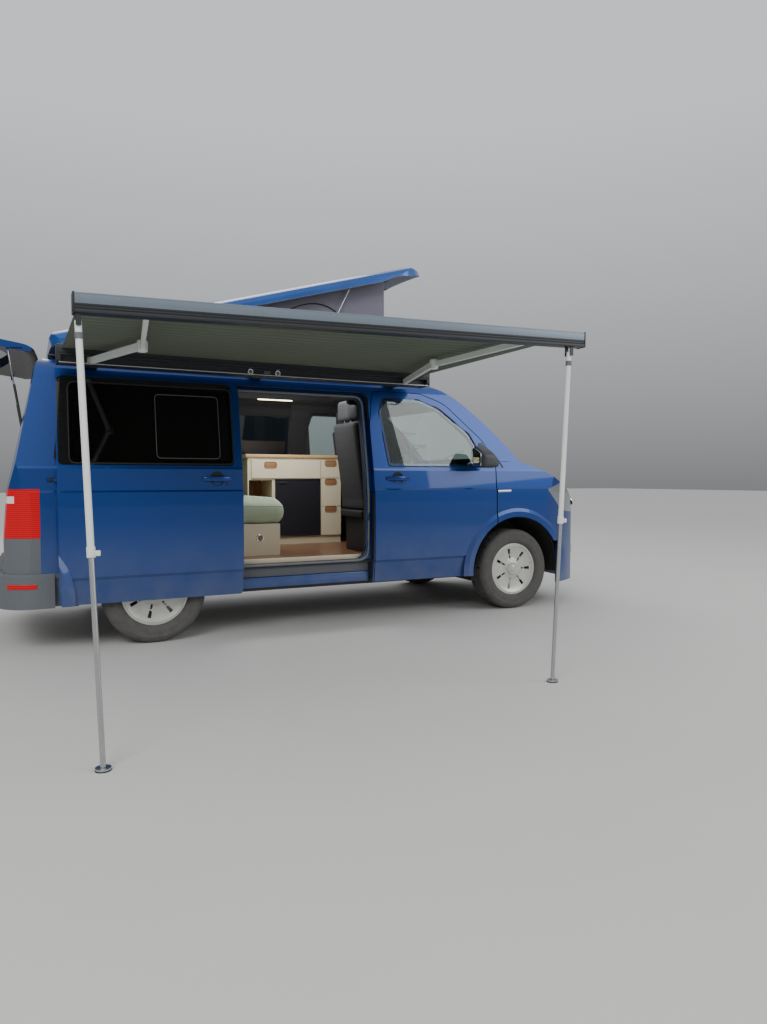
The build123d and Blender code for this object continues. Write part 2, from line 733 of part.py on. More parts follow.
# Pins for the tailgate struts, on the pillars and on the gate
pin_x, pin_z = tail_strut_low[0], tail_strut_low[2]
pin_radius = 3
for name, panel, side in (
        ("side_panel_right", right_side_panel.part, -1), ("side_panel_left", mirrored(left_panel), 1)):
    with BuildPart() as pinned:
        add(panel)
        add(block(pin_x - 10, pin_x + 20, *sorted((side * 752, side * 872)), pin_z - 15, pin_z + 15))
        add(tube((pin_x, side * 731, pin_z), (pin_x, side * 760, pin_z), pin_radius))
    keep(name, pinned.part)
gate_pin_end = 732.6  # short of the rod's eye, which leaves its pin in mid travel
eye_pocket = (-2196, -2150), (1772, 1846)  # recess of the gate's edge that the rod's eye passes through
with BuildPart() as gate:
    add(tailgate_closed)
    for side in (-1, 1):
        add(block(*eye_pocket[0], *sorted((side * 729, side * 765)), *eye_pocket[1]), mode=Mode.SUBTRACT)
        add(block(-2222, -2162, *sorted((side * 700, side * 730)), 1750, 1770))
        add(tube((-2170, side * 720, 1760), (-2170, side * gate_pin_end, 1760), pin_radius))
keep("tailgate", gate.part.rotate(tailgate_swing, tailgate_open))

# Lifting roof, drawn shut and then raised about its rear links
roof_swing = Axis((roof_pivot_x, 0, roof_pivot_z), (0, -1, 0))
strut_high = (190, 625, 1955)
with BuildPart() as cap:
    with BuildSketch(Plane.YZ.offset(cap_rear_x)):
        with BuildLine():
            Polyline((0, 1860), (cap_half, 1860), (cap_half, 1958), (cap_half - 18, 1990))
            ThreePointArc((cap_half - 18, 1990), (cap_half - 80, 2014), (cap_half - 180, 2026))
            ThreePointArc((cap_half - 180, 2026), (280, 2044), (0, 2050))
            Line((0, 2050), (0, 1860))
        make_face()
        mirror(about=Plane.YZ)
    extrude(amount=cap_front_x - cap_rear_x)
    with BuildSketch(Plane.XY.offset(1700)):
        with BuildLine():
            ThreePointArc((cap_rear_x + 60, 716), (cap_rear_x + 10, 660), (cap_rear_x, 560))
            Polyline((cap_rear_x, 560), (cap_rear_x, 0), (cap_front_x, 0), (cap_front_x - 6, 300))
            ThreePointArc((cap_front_x - 6, 300), (cap_front_x - 60, 600), (cap_front_x - 330, 716))
            Line((cap_front_x - 330, 716), (cap_rear_x + 60, 716))
        make_face()
        mirror(about=Plane.XZ)
    extrude(amount=600, mode=Mode.INTERSECT)
    with BuildSketch(Plane.XZ.offset(-1000)):
        with BuildLine():
            Polyline((cap_rear_x, cap_skirt), (cap_rear_x, 1984))
            ThreePointArc((cap_rear_x, 1984), (cap_rear_x + 50, 2024), (cap_rear_x + 190, 2038))
            ThreePointArc((cap_rear_x + 190, 2038), (-600, 2060), (520, 2034))
            ThreePointArc((520, 2034), (740, 1994), (cap_front_x, 1932))
            Polyline((cap_front_x, 1932), (cap_front_x, 1908), (560, 1948), (440, cap_skirt),
                     (cap_rear_x, cap_skirt))
        make_face()
    extrude(amount=2000, mode=Mode.INTERSECT)
    with BuildSketch(Plane.YZ.offset(cap_rear_x - 10)):
        with BuildLine():
            Polyline((-690, 1800), (-690, 1926))
            ThreePointArc((-690, 1926), (0, 1958), (690, 1926))
            Polyline((690, 1926), (690, 1800), (-690, 1800))
        make_face()
    extrude(amount=3100, mode=Mode.SUBTRACT)
    add(block(cap_rear_x + 51, 555, -640, 640, 1900, cap_under), mode=Mode.SUBTRACT)
    for side in (-1, 1):
        add(tube((strut_high[0], side * 618, strut_high[2]), (strut_high[0], side * 650, strut_high[2]), 3))
keep("pop_roof", cap.part.rotate(roof_swing, roof_open))

raise_turn = radians(roof_open)


def raised(x, z):
    """Where a point of the shut roof stands when the roof is up"""
    ahead_by, above_by = x - roof_pivot_x, z - roof_pivot_z
    return (roof_pivot_x + ahead_by * cos(raise_turn) - above_by * sin(raise_turn),
            roof_pivot_z + ahead_by * sin(raise_turn) + above_by * cos(raise_turn))


high_x, high_z = raised(strut_high[0], strut_high[2])
roof_strut_closed = strut_high[0] - strut_low[0]
roof_struts = [strut(strut_low, (high_x, 625, high_z), roof_strut_closed, side) for side in (-1, 1)]
keep("roof_strut_barrels", joined(*[barrel for barrel, rod in roof_struts]))
keep("roof_strut_rods", joined(*[rod for barrel, rod in roof_struts]))

# Tent round the opening, from the rim up to the raised roof
tent_cloth = 6
rear_x, rear_z = raised(-2060, cap_under - 0.6)
front_x, front_z = raised(560, cap_under - 0.6)
with BuildPart() as tent:
    with BuildSketch(Plane((roof_hole_middle, 0, roof_rim_top + seat_gap))):
        RectangleRounded(roof_hole_length + 18, 2 * roof_hole_half + 18, 50)
        RectangleRounded(roof_hole_length + 18 - 2 * tent_cloth, 2 * roof_hole_half + 18 - 2 * tent_cloth, 44,
                         mode=Mode.SUBTRACT)
    extrude(amount=900)
    add(side_view([(rear_x - 100, rear_z - 100 * tan(raise_turn)), (front_x + 200, front_z + 200 * tan(raise_turn)),
                   (front_x + 200, 3400), (rear_x - 100, 3400)], -800, 800), mode=Mode.SUBTRACT)
keep("tent", tent.part)

# Sliding door with the arms that carry it in its rails
with BuildPart() as door_with_arms:
    add(slider_closed.moved(slider_open))
    add(block(-2120, -900, -902 - slider_out, -800, 300, 500), mode=Mode.SUBTRACT)
    add(block(-2120, -2050, -985, -930, rail_z - 10, rail_z + 10))
    add(block(-1040, -930, -975, -855.3, 336, 352))
keep("sliding_door", door_with_arms.part)

# Hinge pads between the front doors and their pillars
with BuildPart() as hinged_door:
    add(door_right)
    for z in (860, 1100):
        add(block(1200, 1275, -912, -902.3, z, z + 70))
keep("front_door_right", hinged_door.part)
keep("front_door_left", mirrored(hinged_door.part))

# Door mirrors
with BuildPart() as mirror_right:
    add(block(985, 1165, -1165, -1015, 1215, 1395))
    fillet(edges(), 34)
    add(bar((1190, -925, 1262), (1130, -1040, 1262), 60, 44))
    add(deepcopy(form[0]), mode=Mode.SUBTRACT)
keep("door_mirror_right", mirror_right.part)
keep("door_mirror_left", mirrored(mirror_right.part))

# Wheels
hub_half = 74
with BuildPart() as tyre:
    with BuildSketch(Plane.XZ):
        with BuildLine():
            Line((rim_radius + seat_gap, -84), (rim_radius + seat_gap, 84))
            ThreePointArc((rim_radius + seat_gap, 84), (262, 107.5), (316, 102))
            ThreePointArc((316, 102), (334, 92), (tyre_radius, 70))
            Line((tyre_radius, 70), (tyre_radius, -70))
            ThreePointArc((tyre_radius, -70), (334, -92), (316, -102))
            ThreePointArc((316, -102), (262, -107.5), (rim_radius + seat_gap, -84))
        make_face()
    revolve(axis=Axis.Z)
with BuildPart() as wheel:
    with BuildSketch(Plane.XZ):
        Polygon((207, -82), (rim_radius, -82), (rim_radius, -68), (215, -60), (215, 60), (rim_radius, 68),
                (rim_radius, 82), (207, 82), (200, 60), (200, -60), align=None)
    revolve(axis=Axis.Z)
    with BuildSketch(Plane.XZ):
        with BuildLine():
            Polyline((0, 30), (0, 78), (48, 78), (54, 70), (96, 62))
            ThreePointArc((96, 62), (150, 66), (203, 78))
            Polyline((203, 78), (203, 66), (150, 54), (96, 50), (60, 30), (0, 30))
        make_face()
    revolve(axis=Axis.Z)
    # Seven radial slots that widen outwards, each parted by a bridge
    with BuildSketch(Plane.XY.offset(40)):
        with PolarLocations(0, 7):
            Polygon((82, -6), (118, -8.5), (118, 8.5), (82, 6), align=None)
            Polygon((128, -9.5), (178, -13), (178, 13), (128, 9.5), align=None)
    extrude(amount=60, mode=Mode.SUBTRACT)
    with BuildSketch(Plane.XY.offset(-hub_half)):
        Circle(62)
    extrude(amount=hub_half + 34)
for name, axle, side in wheels:
    place = Location(Plane((axle, side * track / 2, axle_height), x_dir=(1, 0, 0), z_dir=(0, side, 0)))
    keep(f"tyre_{name}", tyre.part.moved(place))
    keep(f"wheel_{name}", wheel.part.moved(place))

# Running gear
hub_y = track / 2 - hub_half
with BuildPart() as knuckle:
    add(block(front_axle - 30, front_axle + 30, -735, -690, 212, 470))
    add(tube((front_axle, -(hub_y - seat_gap), axle_height), (front_axle, -690, axle_height), 55))
    add(bar((front_axle, -706, 290), (front_axle - 118, -700, 290), 30, 24))
keep("knuckle_right", knuckle.part)
keep("knuckle_left", mirrored(knuckle.part))
with BuildPart() as front_subframe:
    add(block(1360, 1640, -430, 430, 190, 240))
    add(block(1800, 1860, -480, 480, 200, 260))
    add(bar((1640, -400, 230), (1800, -460, 230), 60, 50))
    add(bar((1640, 400, 230), (1800, 460, 230), 60, 50))
    for side in (-1, 1):
        add(bar((1500, side * 420, 195), (1500, side * 745, 192), 76, 26))
        add(block(1400, 1480, *sorted((side * 420, side * 570)), 190, 216))
        add(tube((1445, side * 570, 200), (1445, side * 570, 789.5), 30))
        add(tube((1500, side * 714, 200), (1500, side * 714, 211.7), 12))
        add(tube((1445, side * 570, 420), (1445, side * 570, 760), 44))
        add(block(1560, 1610, *sorted((side * 380, side * 478)), 200, 380))
        add(block(1806, 1854, *sorted((side * 432, side * 478)), 215, 380))
        add(block(1384, 1420, *sorted((side * 300, side * 340)), 230, 290))
    add(tube((1402, -640, 290), (1402, 640, 290), 9.5))
keep("front_subframe", front_subframe.part)
with BuildPart() as rear_suspension:
    add(tube((rear_axle + 250, -470, 330), (rear_axle + 250, 470, 330), 42))
    for side in (-1, 1):
        add(block(rear_axle + 380, rear_axle + 460, *sorted((side * 380, side * 460)), 330, 470))
        add(bar((rear_axle + 430, side * 420, 350), (rear_axle - 40, side * 440, axle_height), 60, 70))
        add(tube((rear_axle, side * 420, axle_height), (rear_axle, side * (hub_y - seat_gap), axle_height), 48))
        add(tube((rear_axle - 10, side * 430, 360), (rear_axle - 10, side * 430, 470), 40))
keep("rear_suspension", rear_suspension.part)
keep("engine", joined(block(1600, 2060, -350, 350, 400, 900), block(1750, 1810, -429.7, 429.7, 410, 460)))
keep("fuel_tank", block(-300, 500, -420, 420, 290, 470))
with BuildPart() as exhaust:
    add(block(-2300, -2000, -640, -300, 330, 469.7))
    add(tube((-2200, -560, 345), (-2400, -560, 262), 20, 17))
keep("exhaust", exhaust.part)

# Cab
dash_side = [(1339.7, 815), (1339.7, 1149), (1190, 1128), (1096, 1062), (1104, 930), (1200, 815)]
column_high = Vector(1050, 400, 1160)
column_run = Vector(-0.822, 0, 0.5695)
with BuildPart() as dash_with_column:
    add(side_view(dash_side, -832, 832))
    add(bar(column_high - column_run * 72, column_high - column_run * 150, 62, 62))
keep("dashboard", dash_with_column.part)
with BuildPart() as steering_wheel:
    with BuildSketch(Plane(column_high, x_dir=(0, 1, 0), z_dir=column_run)):
        Circle(48)
        with PolarLocations(0, 3, start_angle=90):
            with Locations((95, 0)):
                Rectangle(170, 26)
    extrude(amount=16)
    with BuildSketch(Plane(column_high + column_run * 8 + Vector(0, 180, 0), x_dir=(0, 1, 0),
                           z_dir=Vector(0, 1, 0).cross(column_run))):
        Circle(15)
    revolve(axis=Axis(column_high + column_run * 8, column_run))
    add(tube(column_high - column_run * 71.7, column_high + column_run * 4, 20))
keep("steering_wheel", steering_wheel.part)
seats = [(-420, 0), (420, 330)]  # middle across, how far forward
with BuildPart() as front_seats:
    for seat_y, forward in seats:
        for low, high, x_min, x_max, half in (
                (515.3, 800, 200, 560, 190), (800, 860, 160, 620, 220), (860, 985, 180, 660, 240)):
            add(block(x_min + forward, x_max + forward, seat_y - half, seat_y + half, low, high))
        add(side_view([(190 + forward, 860), (300 + forward, 985), (205 + forward, 1590), (95 + forward, 1590)],
                      seat_y - 235, seat_y + 235))
        add(side_view([(100 + forward, 1580), (190 + forward, 1580), (165 + forward, 1775),
                       (80 + forward, 1775)], seat_y - 130, seat_y + 130))
keep("front_seats", front_seats.part)

# Living space
wood_top = 515
with BuildPart() as wood_floor:
    add(block(-2380, 1100, -846, 846, floor_top, wood_top))
    add(deepcopy(form[inner_frame]), mode=Mode.INTERSECT)
    add(wheelhouses, mode=Mode.SUBTRACT)
keep("wood_floor", wood_floor.part)
kitchen_front, kitchen_back = 420, 795
drawers = [  # x from, x to, z from, z to
    (-446, 216, 1128, 1296), (226, 426, 1134, 1296), (226, 426, 866, 1126), (226, 426, 590, 858)]
with BuildPart() as furniture:
    add(block(-480, 430, kitchen_front, kitchen_back, wood_top, 1318))
    add(block(-500, 445, kitchen_front - 18, kitchen_back + 2, 1318, 1344))
    for x_min, x_max, z_min, z_max in drawers:
        add(block(x_min, x_max, kitchen_front - 16, kitchen_front, z_min, z_max))
    add(block(-223, 221, kitchen_front - 1, kitchen_front + 370, 587, 1122), mode=Mode.SUBTRACT)
    add(block(-470, -252, kitchen_front - 1, kitchen_front + 360, 600, 1110), mode=Mode.SUBTRACT)
    add(block(-1030, -461, -450, 410, wood_top, 765))
    with BuildSketch(Plane.XZ.offset(440)):
        with Locations((-626, 653)):
            Circle(16)
    extrude(amount=20, mode=Mode.SUBTRACT)
    add(block(-1960, -1030, -476, 476, 735, 765))
    add(block(-1960, -1930, -476, 476, wood_top, 735))
keep("furniture", furniture.part)
keep("fridge", block(-222.7, 220.7, kitchen_front - 10, kitchen_front + 369.7, 587.3, 1121.7))
with BuildPart() as bench_cushion:
    add(block(-1025, -440, -466, 400, 765.3, 905))
    fillet(edges(), 28)
    add(block(-1120, -1000, -466, 400, 905, 1420))
with BuildPart() as rear_bed:
    add(block(-1955, -1130, -472, 472, 765.3, 880))
    fillet(edges(), 28)
keep("cushions", joined(bench_cushion.part, rear_bed.part))

# Awning on the right roof side: case, two folding arms, lead rail, cloth and two legs
rail_slope = tan(radians(awning_tilt))


def rail_height(x):
    """Height of the underside of the lead rail"""
    return rail_rear_z + (x - awning_rear_x) * rail_slope


with BuildPart() as awning_case:
    with BuildSketch(Plane.YZ.offset(awning_rear_x)):
        with Locations((-995, 1902)):
            RectangleRounded(170, 116, 26)
    extrude(amount=awning_front_x - awning_rear_x)
    for x in (-1880, -760, 340):
        add(block(x - 40, x + 40, -925, -740, 1852, 1908))
    add(deepcopy(form[0]), mode=Mode.SUBTRACT)
    add(block(awning_rear_x + 20, awning_front_x - 20, -1082, -1030, 1820, 1893), mode=Mode.SUBTRACT)
keep("awning_case", awning_case.part)
arms = [  # inner pivot x, elbow x, outer pivot x
    (-1900, -1690, -1800), (360, 150, 262)]
with BuildPart() as awning_arms:
    for inner_x, elbow_x, outer_x in arms:
        lift = (inner_x - awning_rear_x) * rail_slope
        add(bar((inner_x, -1015, 1870), (elbow_x, -1840, 1846 + lift / 2), 26, 38))
        add(bar((elbow_x, -1840, 1842 + lift / 2), (outer_x, -2790, 1826 + lift), 22, 32))
        add(tube((elbow_x, -1840, 1816 + lift / 2), (elbow_x, -1840, 1872 + lift / 2), 26))
    add(block(-2200, 700, -1030.3, -900, 1700, 2000), mode=Mode.SUBTRACT)
    add(block(-2200, 700, -2900, -2769.7, 1700, 2000), mode=Mode.SUBTRACT)
keep("awning_arms", awning_arms.part)
rail_start = (awning_rear_x, awning_reach_y, rail_rear_z + 41)
rail_end = (awning_front_x, awning_reach_y, rail_height(awning_front_x) + 41)
cloth = []
for x in (awning_rear_x + 30, awning_front_x - 30):
    edge_z = rail_height(x) + 72
    with BuildSketch(Plane.YZ.offset(x)) as cloth_end:
        Polygon((-1080.3, 1930), (-2769.7, edge_z), (-2769.7, edge_z + 4), (-1080.3, 1934), align=None)
    cloth.append(cloth_end.sketch)
with BuildPart() as awning_fabric:
    add(cloth[0])
    add(cloth[1])
    loft(ruled=True)
keep("awning_fabric", awning_fabric.part)
legs = [  # name, top x, foot x, foot y, way it folds
    ("rear", -2070, -2027, -3060, 1), ("front", 462, 320, -2860, -1)]
leg_radius, leg_bore, leg_inner, leg_drop = 14, 11.4, 10.8, 38
rail_run = (Vector(*rail_end) - Vector(*rail_start)).normalized()
with BuildPart() as lead_rail:
    add(bar(rail_start, rail_end, 2 * rail_half, 80))
    for name, top_x, foot_x, foot_y, way in legs:
        top = Vector(top_x, awning_reach_y, rail_height(top_x) - leg_drop)
        foot = Vector(foot_x, foot_y, 12)
        along = (foot - top).normalized()
        pin = along.cross(rail_run).normalized()
        for side in (-1, 1):
            add(block(top_x - 11, top_x + 11, *sorted((awning_reach_y + side * 18, awning_reach_y + side * 23)),
                      top.Z - 11, top.Z + leg_drop + 4))
        add(tube(top - pin * 20, top + pin * 20, 3))
keep("awning_lead_rail", lead_rail.part)
for name, top_x, foot_x, foot_y, way in legs:
    top = Vector(top_x, awning_reach_y, rail_height(top_x) - leg_drop)
    foot = Vector(foot_x, foot_y, 12)
    along = (foot - top).normalized()
    pin = along.cross(rail_run).normalized()
    with BuildPart() as upper:
        add(tube(top - along * 10, top + along * 950, leg_radius))
        add(tube(top + along * 30, top + along * 950, leg_bore), mode=Mode.SUBTRACT)
        add(tube(top - pin * 20, top + pin * 20, 3.3), mode=Mode.SUBTRACT)
    with BuildPart() as lower:
        add(tube(top + along * 860, foot, leg_inner))
        add(tube(foot - Vector(0, 0, 12), foot, 30))
    keep(f"awning_leg_{name}_upper", upper.part)
    keep(f"awning_leg_{name}_lower", lower.part)

van = Location((-origin_x, -origin_y, 0))
for label, part in pieces.items():
    export_step(part.moved(van), f"parts/{label}.step")
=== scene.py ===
import math

import bpy
from mathutils import Matrix, Vector


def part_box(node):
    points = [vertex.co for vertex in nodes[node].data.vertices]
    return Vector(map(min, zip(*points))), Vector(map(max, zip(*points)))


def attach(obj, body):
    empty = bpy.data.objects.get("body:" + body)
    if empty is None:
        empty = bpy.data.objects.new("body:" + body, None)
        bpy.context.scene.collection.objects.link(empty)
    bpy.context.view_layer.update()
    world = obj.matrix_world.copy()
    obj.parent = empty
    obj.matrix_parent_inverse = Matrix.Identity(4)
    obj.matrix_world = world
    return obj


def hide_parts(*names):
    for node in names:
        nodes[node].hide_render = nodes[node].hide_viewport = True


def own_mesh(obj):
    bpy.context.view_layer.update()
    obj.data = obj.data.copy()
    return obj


# Looks of a compact camper van on its pitch: lifting roof raised, tailgate and side door open,
# awning out on two legs. Places are worked out in millimetres from the ground midway between
# the axles, X forward, Y to the left, Z up, and at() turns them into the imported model's frame.

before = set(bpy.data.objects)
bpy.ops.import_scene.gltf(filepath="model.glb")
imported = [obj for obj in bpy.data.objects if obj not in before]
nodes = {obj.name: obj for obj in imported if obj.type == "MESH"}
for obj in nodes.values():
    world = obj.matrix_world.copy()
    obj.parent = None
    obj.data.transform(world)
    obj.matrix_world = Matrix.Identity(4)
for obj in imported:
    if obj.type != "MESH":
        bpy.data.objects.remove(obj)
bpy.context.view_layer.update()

CENTRE_X, CENTRE_Y = 0.602, 0.962
RIGHT, LEFT = -1, 1
OUT_RIGHT = Vector((0, -1, 0))
UP = Vector((0, 0, 1))


def at(x, y, z):
    """A place in millimetres as a point of the frame"""
    return Vector((x / 1000 + CENTRE_X, y / 1000 + CENTRE_Y, z / 1000))


# Materials


def srgb(code):
    """A hex colour as linear red, green, blue and alpha"""
    parts = [int(code[i:i + 2], 16) / 255 for i in (1, 3, 5)]
    return (*[p / 12.92 if p <= 0.04045 else ((p + 0.055) / 1.055) ** 2.4 for p in parts], 1.0)


def add(material, kind, values=None, **settings):
    """Adds a node to a material: plain settings by name, inputs by name or number, links from sockets"""
    made = material.node_tree.nodes.new(kind)
    for name, value in settings.items():
        setattr(made, name, value)
    for socket, value in (values or {}).items():
        if isinstance(value, bpy.types.NodeSocket):
            material.node_tree.links.new(value, made.inputs[socket])
        else:
            made.inputs[socket].default_value = value
    return made


def finish_of(name, colour, roughness, **sockets):
    """A material with its one shader set; a socket's name is given with _ for each space"""
    made = bpy.data.materials.new(name)
    made.use_nodes = True
    shader = made.node_tree.nodes["Principled BSDF"]
    shader.inputs["Base Color"].default_value = srgb(colour)
    shader.inputs["Roughness"].default_value = roughness
    for socket, value in sockets.items():
        shader.inputs[socket.replace("_", " ")].default_value = value
    return made


def drive(material, socket, output):
    """Links an output to the material's shader"""
    material.node_tree.links.new(output, material.node_tree.nodes["Principled BSDF"].inputs[socket])


def pattern_space(material, stretch=(1, 1, 1), turn=(0, 0, 0)):
    """The piece's own coordinates in metres, stretched and turned for a pattern"""
    own = add(material, "ShaderNodeTexCoord")
    return add(material, "ShaderNodeMapping",
               {"Vector": own.outputs["Object"], "Scale": stretch, "Rotation": turn}).outputs[0]


def mottled(material, colours, size, relief=0.0, stretch=(1, 1, 1), rough=None, detail=4):
    """Two colours in soft patches of a size in millimetres, with relief in millimetres"""
    space = pattern_space(material, stretch)
    patches = add(material, "ShaderNodeTexNoise", {"Vector": space, "Scale": 1000 / size, "Detail": detail})
    colour = add(material, "ShaderNodeMix", {0: patches.outputs[0], 6: srgb(colours[0]), 7: srgb(colours[1])},
                 data_type="RGBA")
    drive(material, "Base Color", colour.outputs[2])
    if relief:
        bump = add(material, "ShaderNodeBump", {"Height": patches.outputs[0], "Distance": relief / 1000})
        drive(material, "Normal", bump.outputs[0])
    if rough:
        spread = add(material, "ShaderNodeMapRange", {0: patches.outputs[0], 3: rough[0], 4: rough[1]})
        drive(material, "Roughness", spread.outputs[0])
    return material


def woven(material, colours, thread, relief=0.4):
    """Gives a material a plain weave with threads of a width in millimetres"""
    space = pattern_space(material)
    frequency = 1000 / thread / 20 * math.pi
    weave = []
    for direction in ("X", "Z"):
        wave = add(material, "ShaderNodeTexWave", {"Vector": space, "Scale": frequency, "Distortion": 0.4},
                   bands_direction=direction)
        weave.append(wave.outputs[1])
    cross = add(material, "ShaderNodeMath", {0: weave[0], 1: weave[1]}, operation="MULTIPLY")
    slub = add(material, "ShaderNodeTexNoise", {"Vector": space, "Scale": 28, "Detail": 5})
    share = add(material, "ShaderNodeMath", {0: cross.outputs[0], 1: slub.outputs[0], 2: 0.3},
                operation="MULTIPLY_ADD")
    colour = add(material, "ShaderNodeMix", {0: share.outputs[0], 6: srgb(colours[0]), 7: srgb(colours[1])},
                 data_type="RGBA")
    drive(material, "Base Color", colour.outputs[2])
    bump = add(material, "ShaderNodeBump", {"Height": cross.outputs[0], "Distance": relief / 1000})
    drive(material, "Normal", bump.outputs[0])
    return material


# Two-coat metallic car paint: blue base with fine flake under clear lacquer, and road dust on the lower
# panels that takes the shine off; the dust's grey is mixed in stronger than dust alone, as painted reflection
# of the pale floor
def car_paint(name):
    paint = finish_of(name, "#04337E", 0.34, Metallic=0.55, Coat_Weight=0.6, Coat_Roughness=0.03)
    space = pattern_space(paint)
    flake = add(paint, "ShaderNodeTexNoise", {"Vector": space, "Scale": 1000 / 2.5, "Detail": 2})
    base = add(paint, "ShaderNodeMix", {0: flake.outputs[0], 6: srgb("#022D72"), 7: srgb("#054594")},
               data_type="RGBA")
    height = add(paint, "ShaderNodeSeparateXYZ", {0: space}).outputs[2]
    low = add(paint, "ShaderNodeMapRange", {0: height, 1: 0.75, 2: 0.3, 3: 0.0, 4: 1.0})
    cloud = add(paint, "ShaderNodeTexNoise", {"Vector": space, "Scale": 1000 / 160, "Detail": 7})
    # Greyer towards the bottom: road dust, and partly a painted reflection of the pale floor
    dust_and_floor_reflection = add(paint, "ShaderNodeMath", {0: low.outputs[0], 1: cloud.outputs[0]}, operation="MULTIPLY")
    share = add(paint, "ShaderNodeMath", {0: dust_and_floor_reflection.outputs[0], 1: 0.5}, operation="MULTIPLY")
    colour = add(paint, "ShaderNodeMix", {0: share.outputs[0], 6: base.outputs[2], 7: srgb("#868B93")},
                 data_type="RGBA")
    drive(paint, "Base Color", colour.outputs[2])
    dull = add(paint, "ShaderNodeMapRange", {0: share.outputs[0], 1: 0.0, 2: 0.5, 3: 0.32, 4: 0.62})
    drive(paint, "Roughness", dull.outputs[0])
    return paint


body_paint = car_paint("metallic_car_paint_blue")
# Painted glass-fibre laminate: the same blue with a slightly wavy, softer shine
roof_laminate = finish_of("painted_glass_fibre_blue", "#0D3F9C", 0.34, Metallic=0.4, Coat_Weight=0.7,
                          Coat_Roughness=0.06)
mottled(roof_laminate, ("#0B4088", "#185CAE"), 260, 0.3)
# Grained polypropylene, moulded: dull grey with a fine leather grain, bleached a little by the sun
grained_grey = mottled(finish_of("moulded_polypropylene_grey", "#5E6268", 0.62),
                       ("#53575D", "#6A6E73"), 6, 0.25, rough=(0.5, 0.75))
# Grained ABS, moulded: black with a dull grain
grained_black = mottled(finish_of("moulded_abs_black", "#17181B", 0.5), ("#121316", "#212327"), 5, 0.2,
                        rough=(0.4, 0.6))
# Grained ABS of the mirror housings: charcoal, with a satin sheen from above
mirror_plastic = mottled(finish_of("moulded_abs_charcoal", "#3A3D41", 0.42), ("#33363A", "#44484D"), 5, 0.15,
                         rough=(0.36, 0.5))
# EPDM rubber, extruded: matt black that scatters light at its edges
rubber = mottled(finish_of("extruded_epdm_rubber", "#1A1A1B", 0.75), ("#161616", "#262626"), 14, 0.1)
# Grey weather-strip rubber of the door opening, with a soft satin face
grey_rubber = mottled(finish_of("extruded_rubber_grey", "#6B6F75", 0.55), ("#62666C", "#7A7E84"), 20, 0.1)
# Tempered glass with a privacy tint in its mass: nearly black from outside
privacy_glass = finish_of("tempered_privacy_glass", "#2A3136", 0.02, Transmission_Weight=1.0, IOR=1.5)
# Clear laminated glass with a green cast at its edge
clear_glass = finish_of("laminated_clear_glass", "#D3E6E2", 0.01, Transmission_Weight=1.0, IOR=1.5)
# Acrylic lens, moulded with fine ribs inside
red_lens = finish_of("moulded_acrylic_red", "#C60E18", 0.3, Specular_IOR_Level=0.3)
# Vacuum-metallised reflector: mirror bright with a faint haze
reflector = mottled(finish_of("metallised_reflector", "#DDE0E4", 0.1, Metallic=1.0), ("#D2D6DB", "#E6E9EC"),
                    30, rough=(0.06, 0.16))
# Metallised lamp body behind its clear cover: grey mirror with fine upright flutes
lamp_body = finish_of("metallised_lamp_body", "#9CA2A8", 0.16, Metallic=0.75, Coat_Weight=1.0,
                      Coat_Roughness=0.02)
flutes = add(lamp_body, "ShaderNodeTexWave", {"Vector": pattern_space(lamp_body), "Scale": 52.0},
             bands_direction="Y")
flute_tone = add(lamp_body, "ShaderNodeMix", {0: flutes.outputs[1], 6: srgb("#8E949B"), 7: srgb("#A8AEB4")},
                 data_type="RGBA")
drive(lamp_body, "Base Color", flute_tone.outputs[2])
# Dark inside of a lamp's bowl
bowl_dark = mottled(finish_of("smoked_lamp_bowl", "#2A2D31", 0.12, Metallic=0.6, Coat_Weight=1.0),
                    ("#26292D", "#34383D"), 20)
# Tyre rubber: carbon black, greyed by dust on the sidewall
tyre_rubber = mottled(finish_of("tyre_rubber", "#26262A", 0.82), ("#3E3E3F", "#625F5B"), 45, 0.4,
                      rough=(0.7, 0.9))
# Silver-painted nylon wheel cover, lightly dulled by brake dust
cover_silver = mottled(finish_of("painted_nylon_silver", "#B9BBBC", 0.34, Metallic=0.55, Coat_Weight=0.5),
                       ("#B5B4AD", "#D0CFC7"), 60, 0.05, rough=(0.28, 0.44))
# Turned cast-iron brake disc: bright rings with a film of rust at the edge
brake_iron = mottled(finish_of("turned_cast_iron", "#5A5651", 0.4, Metallic=0.9), ("#6E6A66", "#4A3B33"),
                     18, 0.1, rough=(0.3, 0.55))
# Sand-cast iron, rough and dark
cast_iron = mottled(finish_of("sand_cast_iron", "#3B3A39", 0.7, Metallic=0.6), ("#2E2D2C", "#4C4A47"), 12,
                    0.5)
# Ground and hard-chromed steel rod, polished
bright_steel = mottled(finish_of("hard_chromed_steel", "#C4C6C8", 0.16, Metallic=1.0),
                       ("#B9BBBE", "#D0D2D4"), 8, rough=(0.1, 0.24))
# Chrome-plated plastic trim
chrome = mottled(finish_of("chrome_plated_trim", "#D8DADC", 0.08, Metallic=1.0), ("#CED0D3", "#E2E4E6"), 25,
                 rough=(0.05, 0.14))
# Stoved chassis paint over pressed steel, with dried mud
chassis_paint = mottled(finish_of("stoved_chassis_paint", "#1B1C1E", 0.6), ("#17181A", "#3A3632"), 110, 0.2,
                        rough=(0.45, 0.8))
# Aluminised steel of the silencer, blued and dusty
exhaust_steel = mottled(finish_of("aluminised_steel", "#77736D", 0.45, Metallic=0.8),
                        ("#85817B", "#5E5650"), 40, 0.2, rough=(0.35, 0.6))
# Silver-lacquered strut tube
strut_silver = mottled(finish_of("lacquered_steel_silver", "#9EA1A4", 0.36, Metallic=0.7),
                       ("#94979A", "#ACAFB1"), 30, rough=(0.3, 0.45))
# Slush-moulded dashboard skin with a leather grain
dash_skin = mottled(finish_of("slush_moulded_pvc", "#232427", 0.58), ("#1E1F22", "#2B2C30"), 4, 0.3)
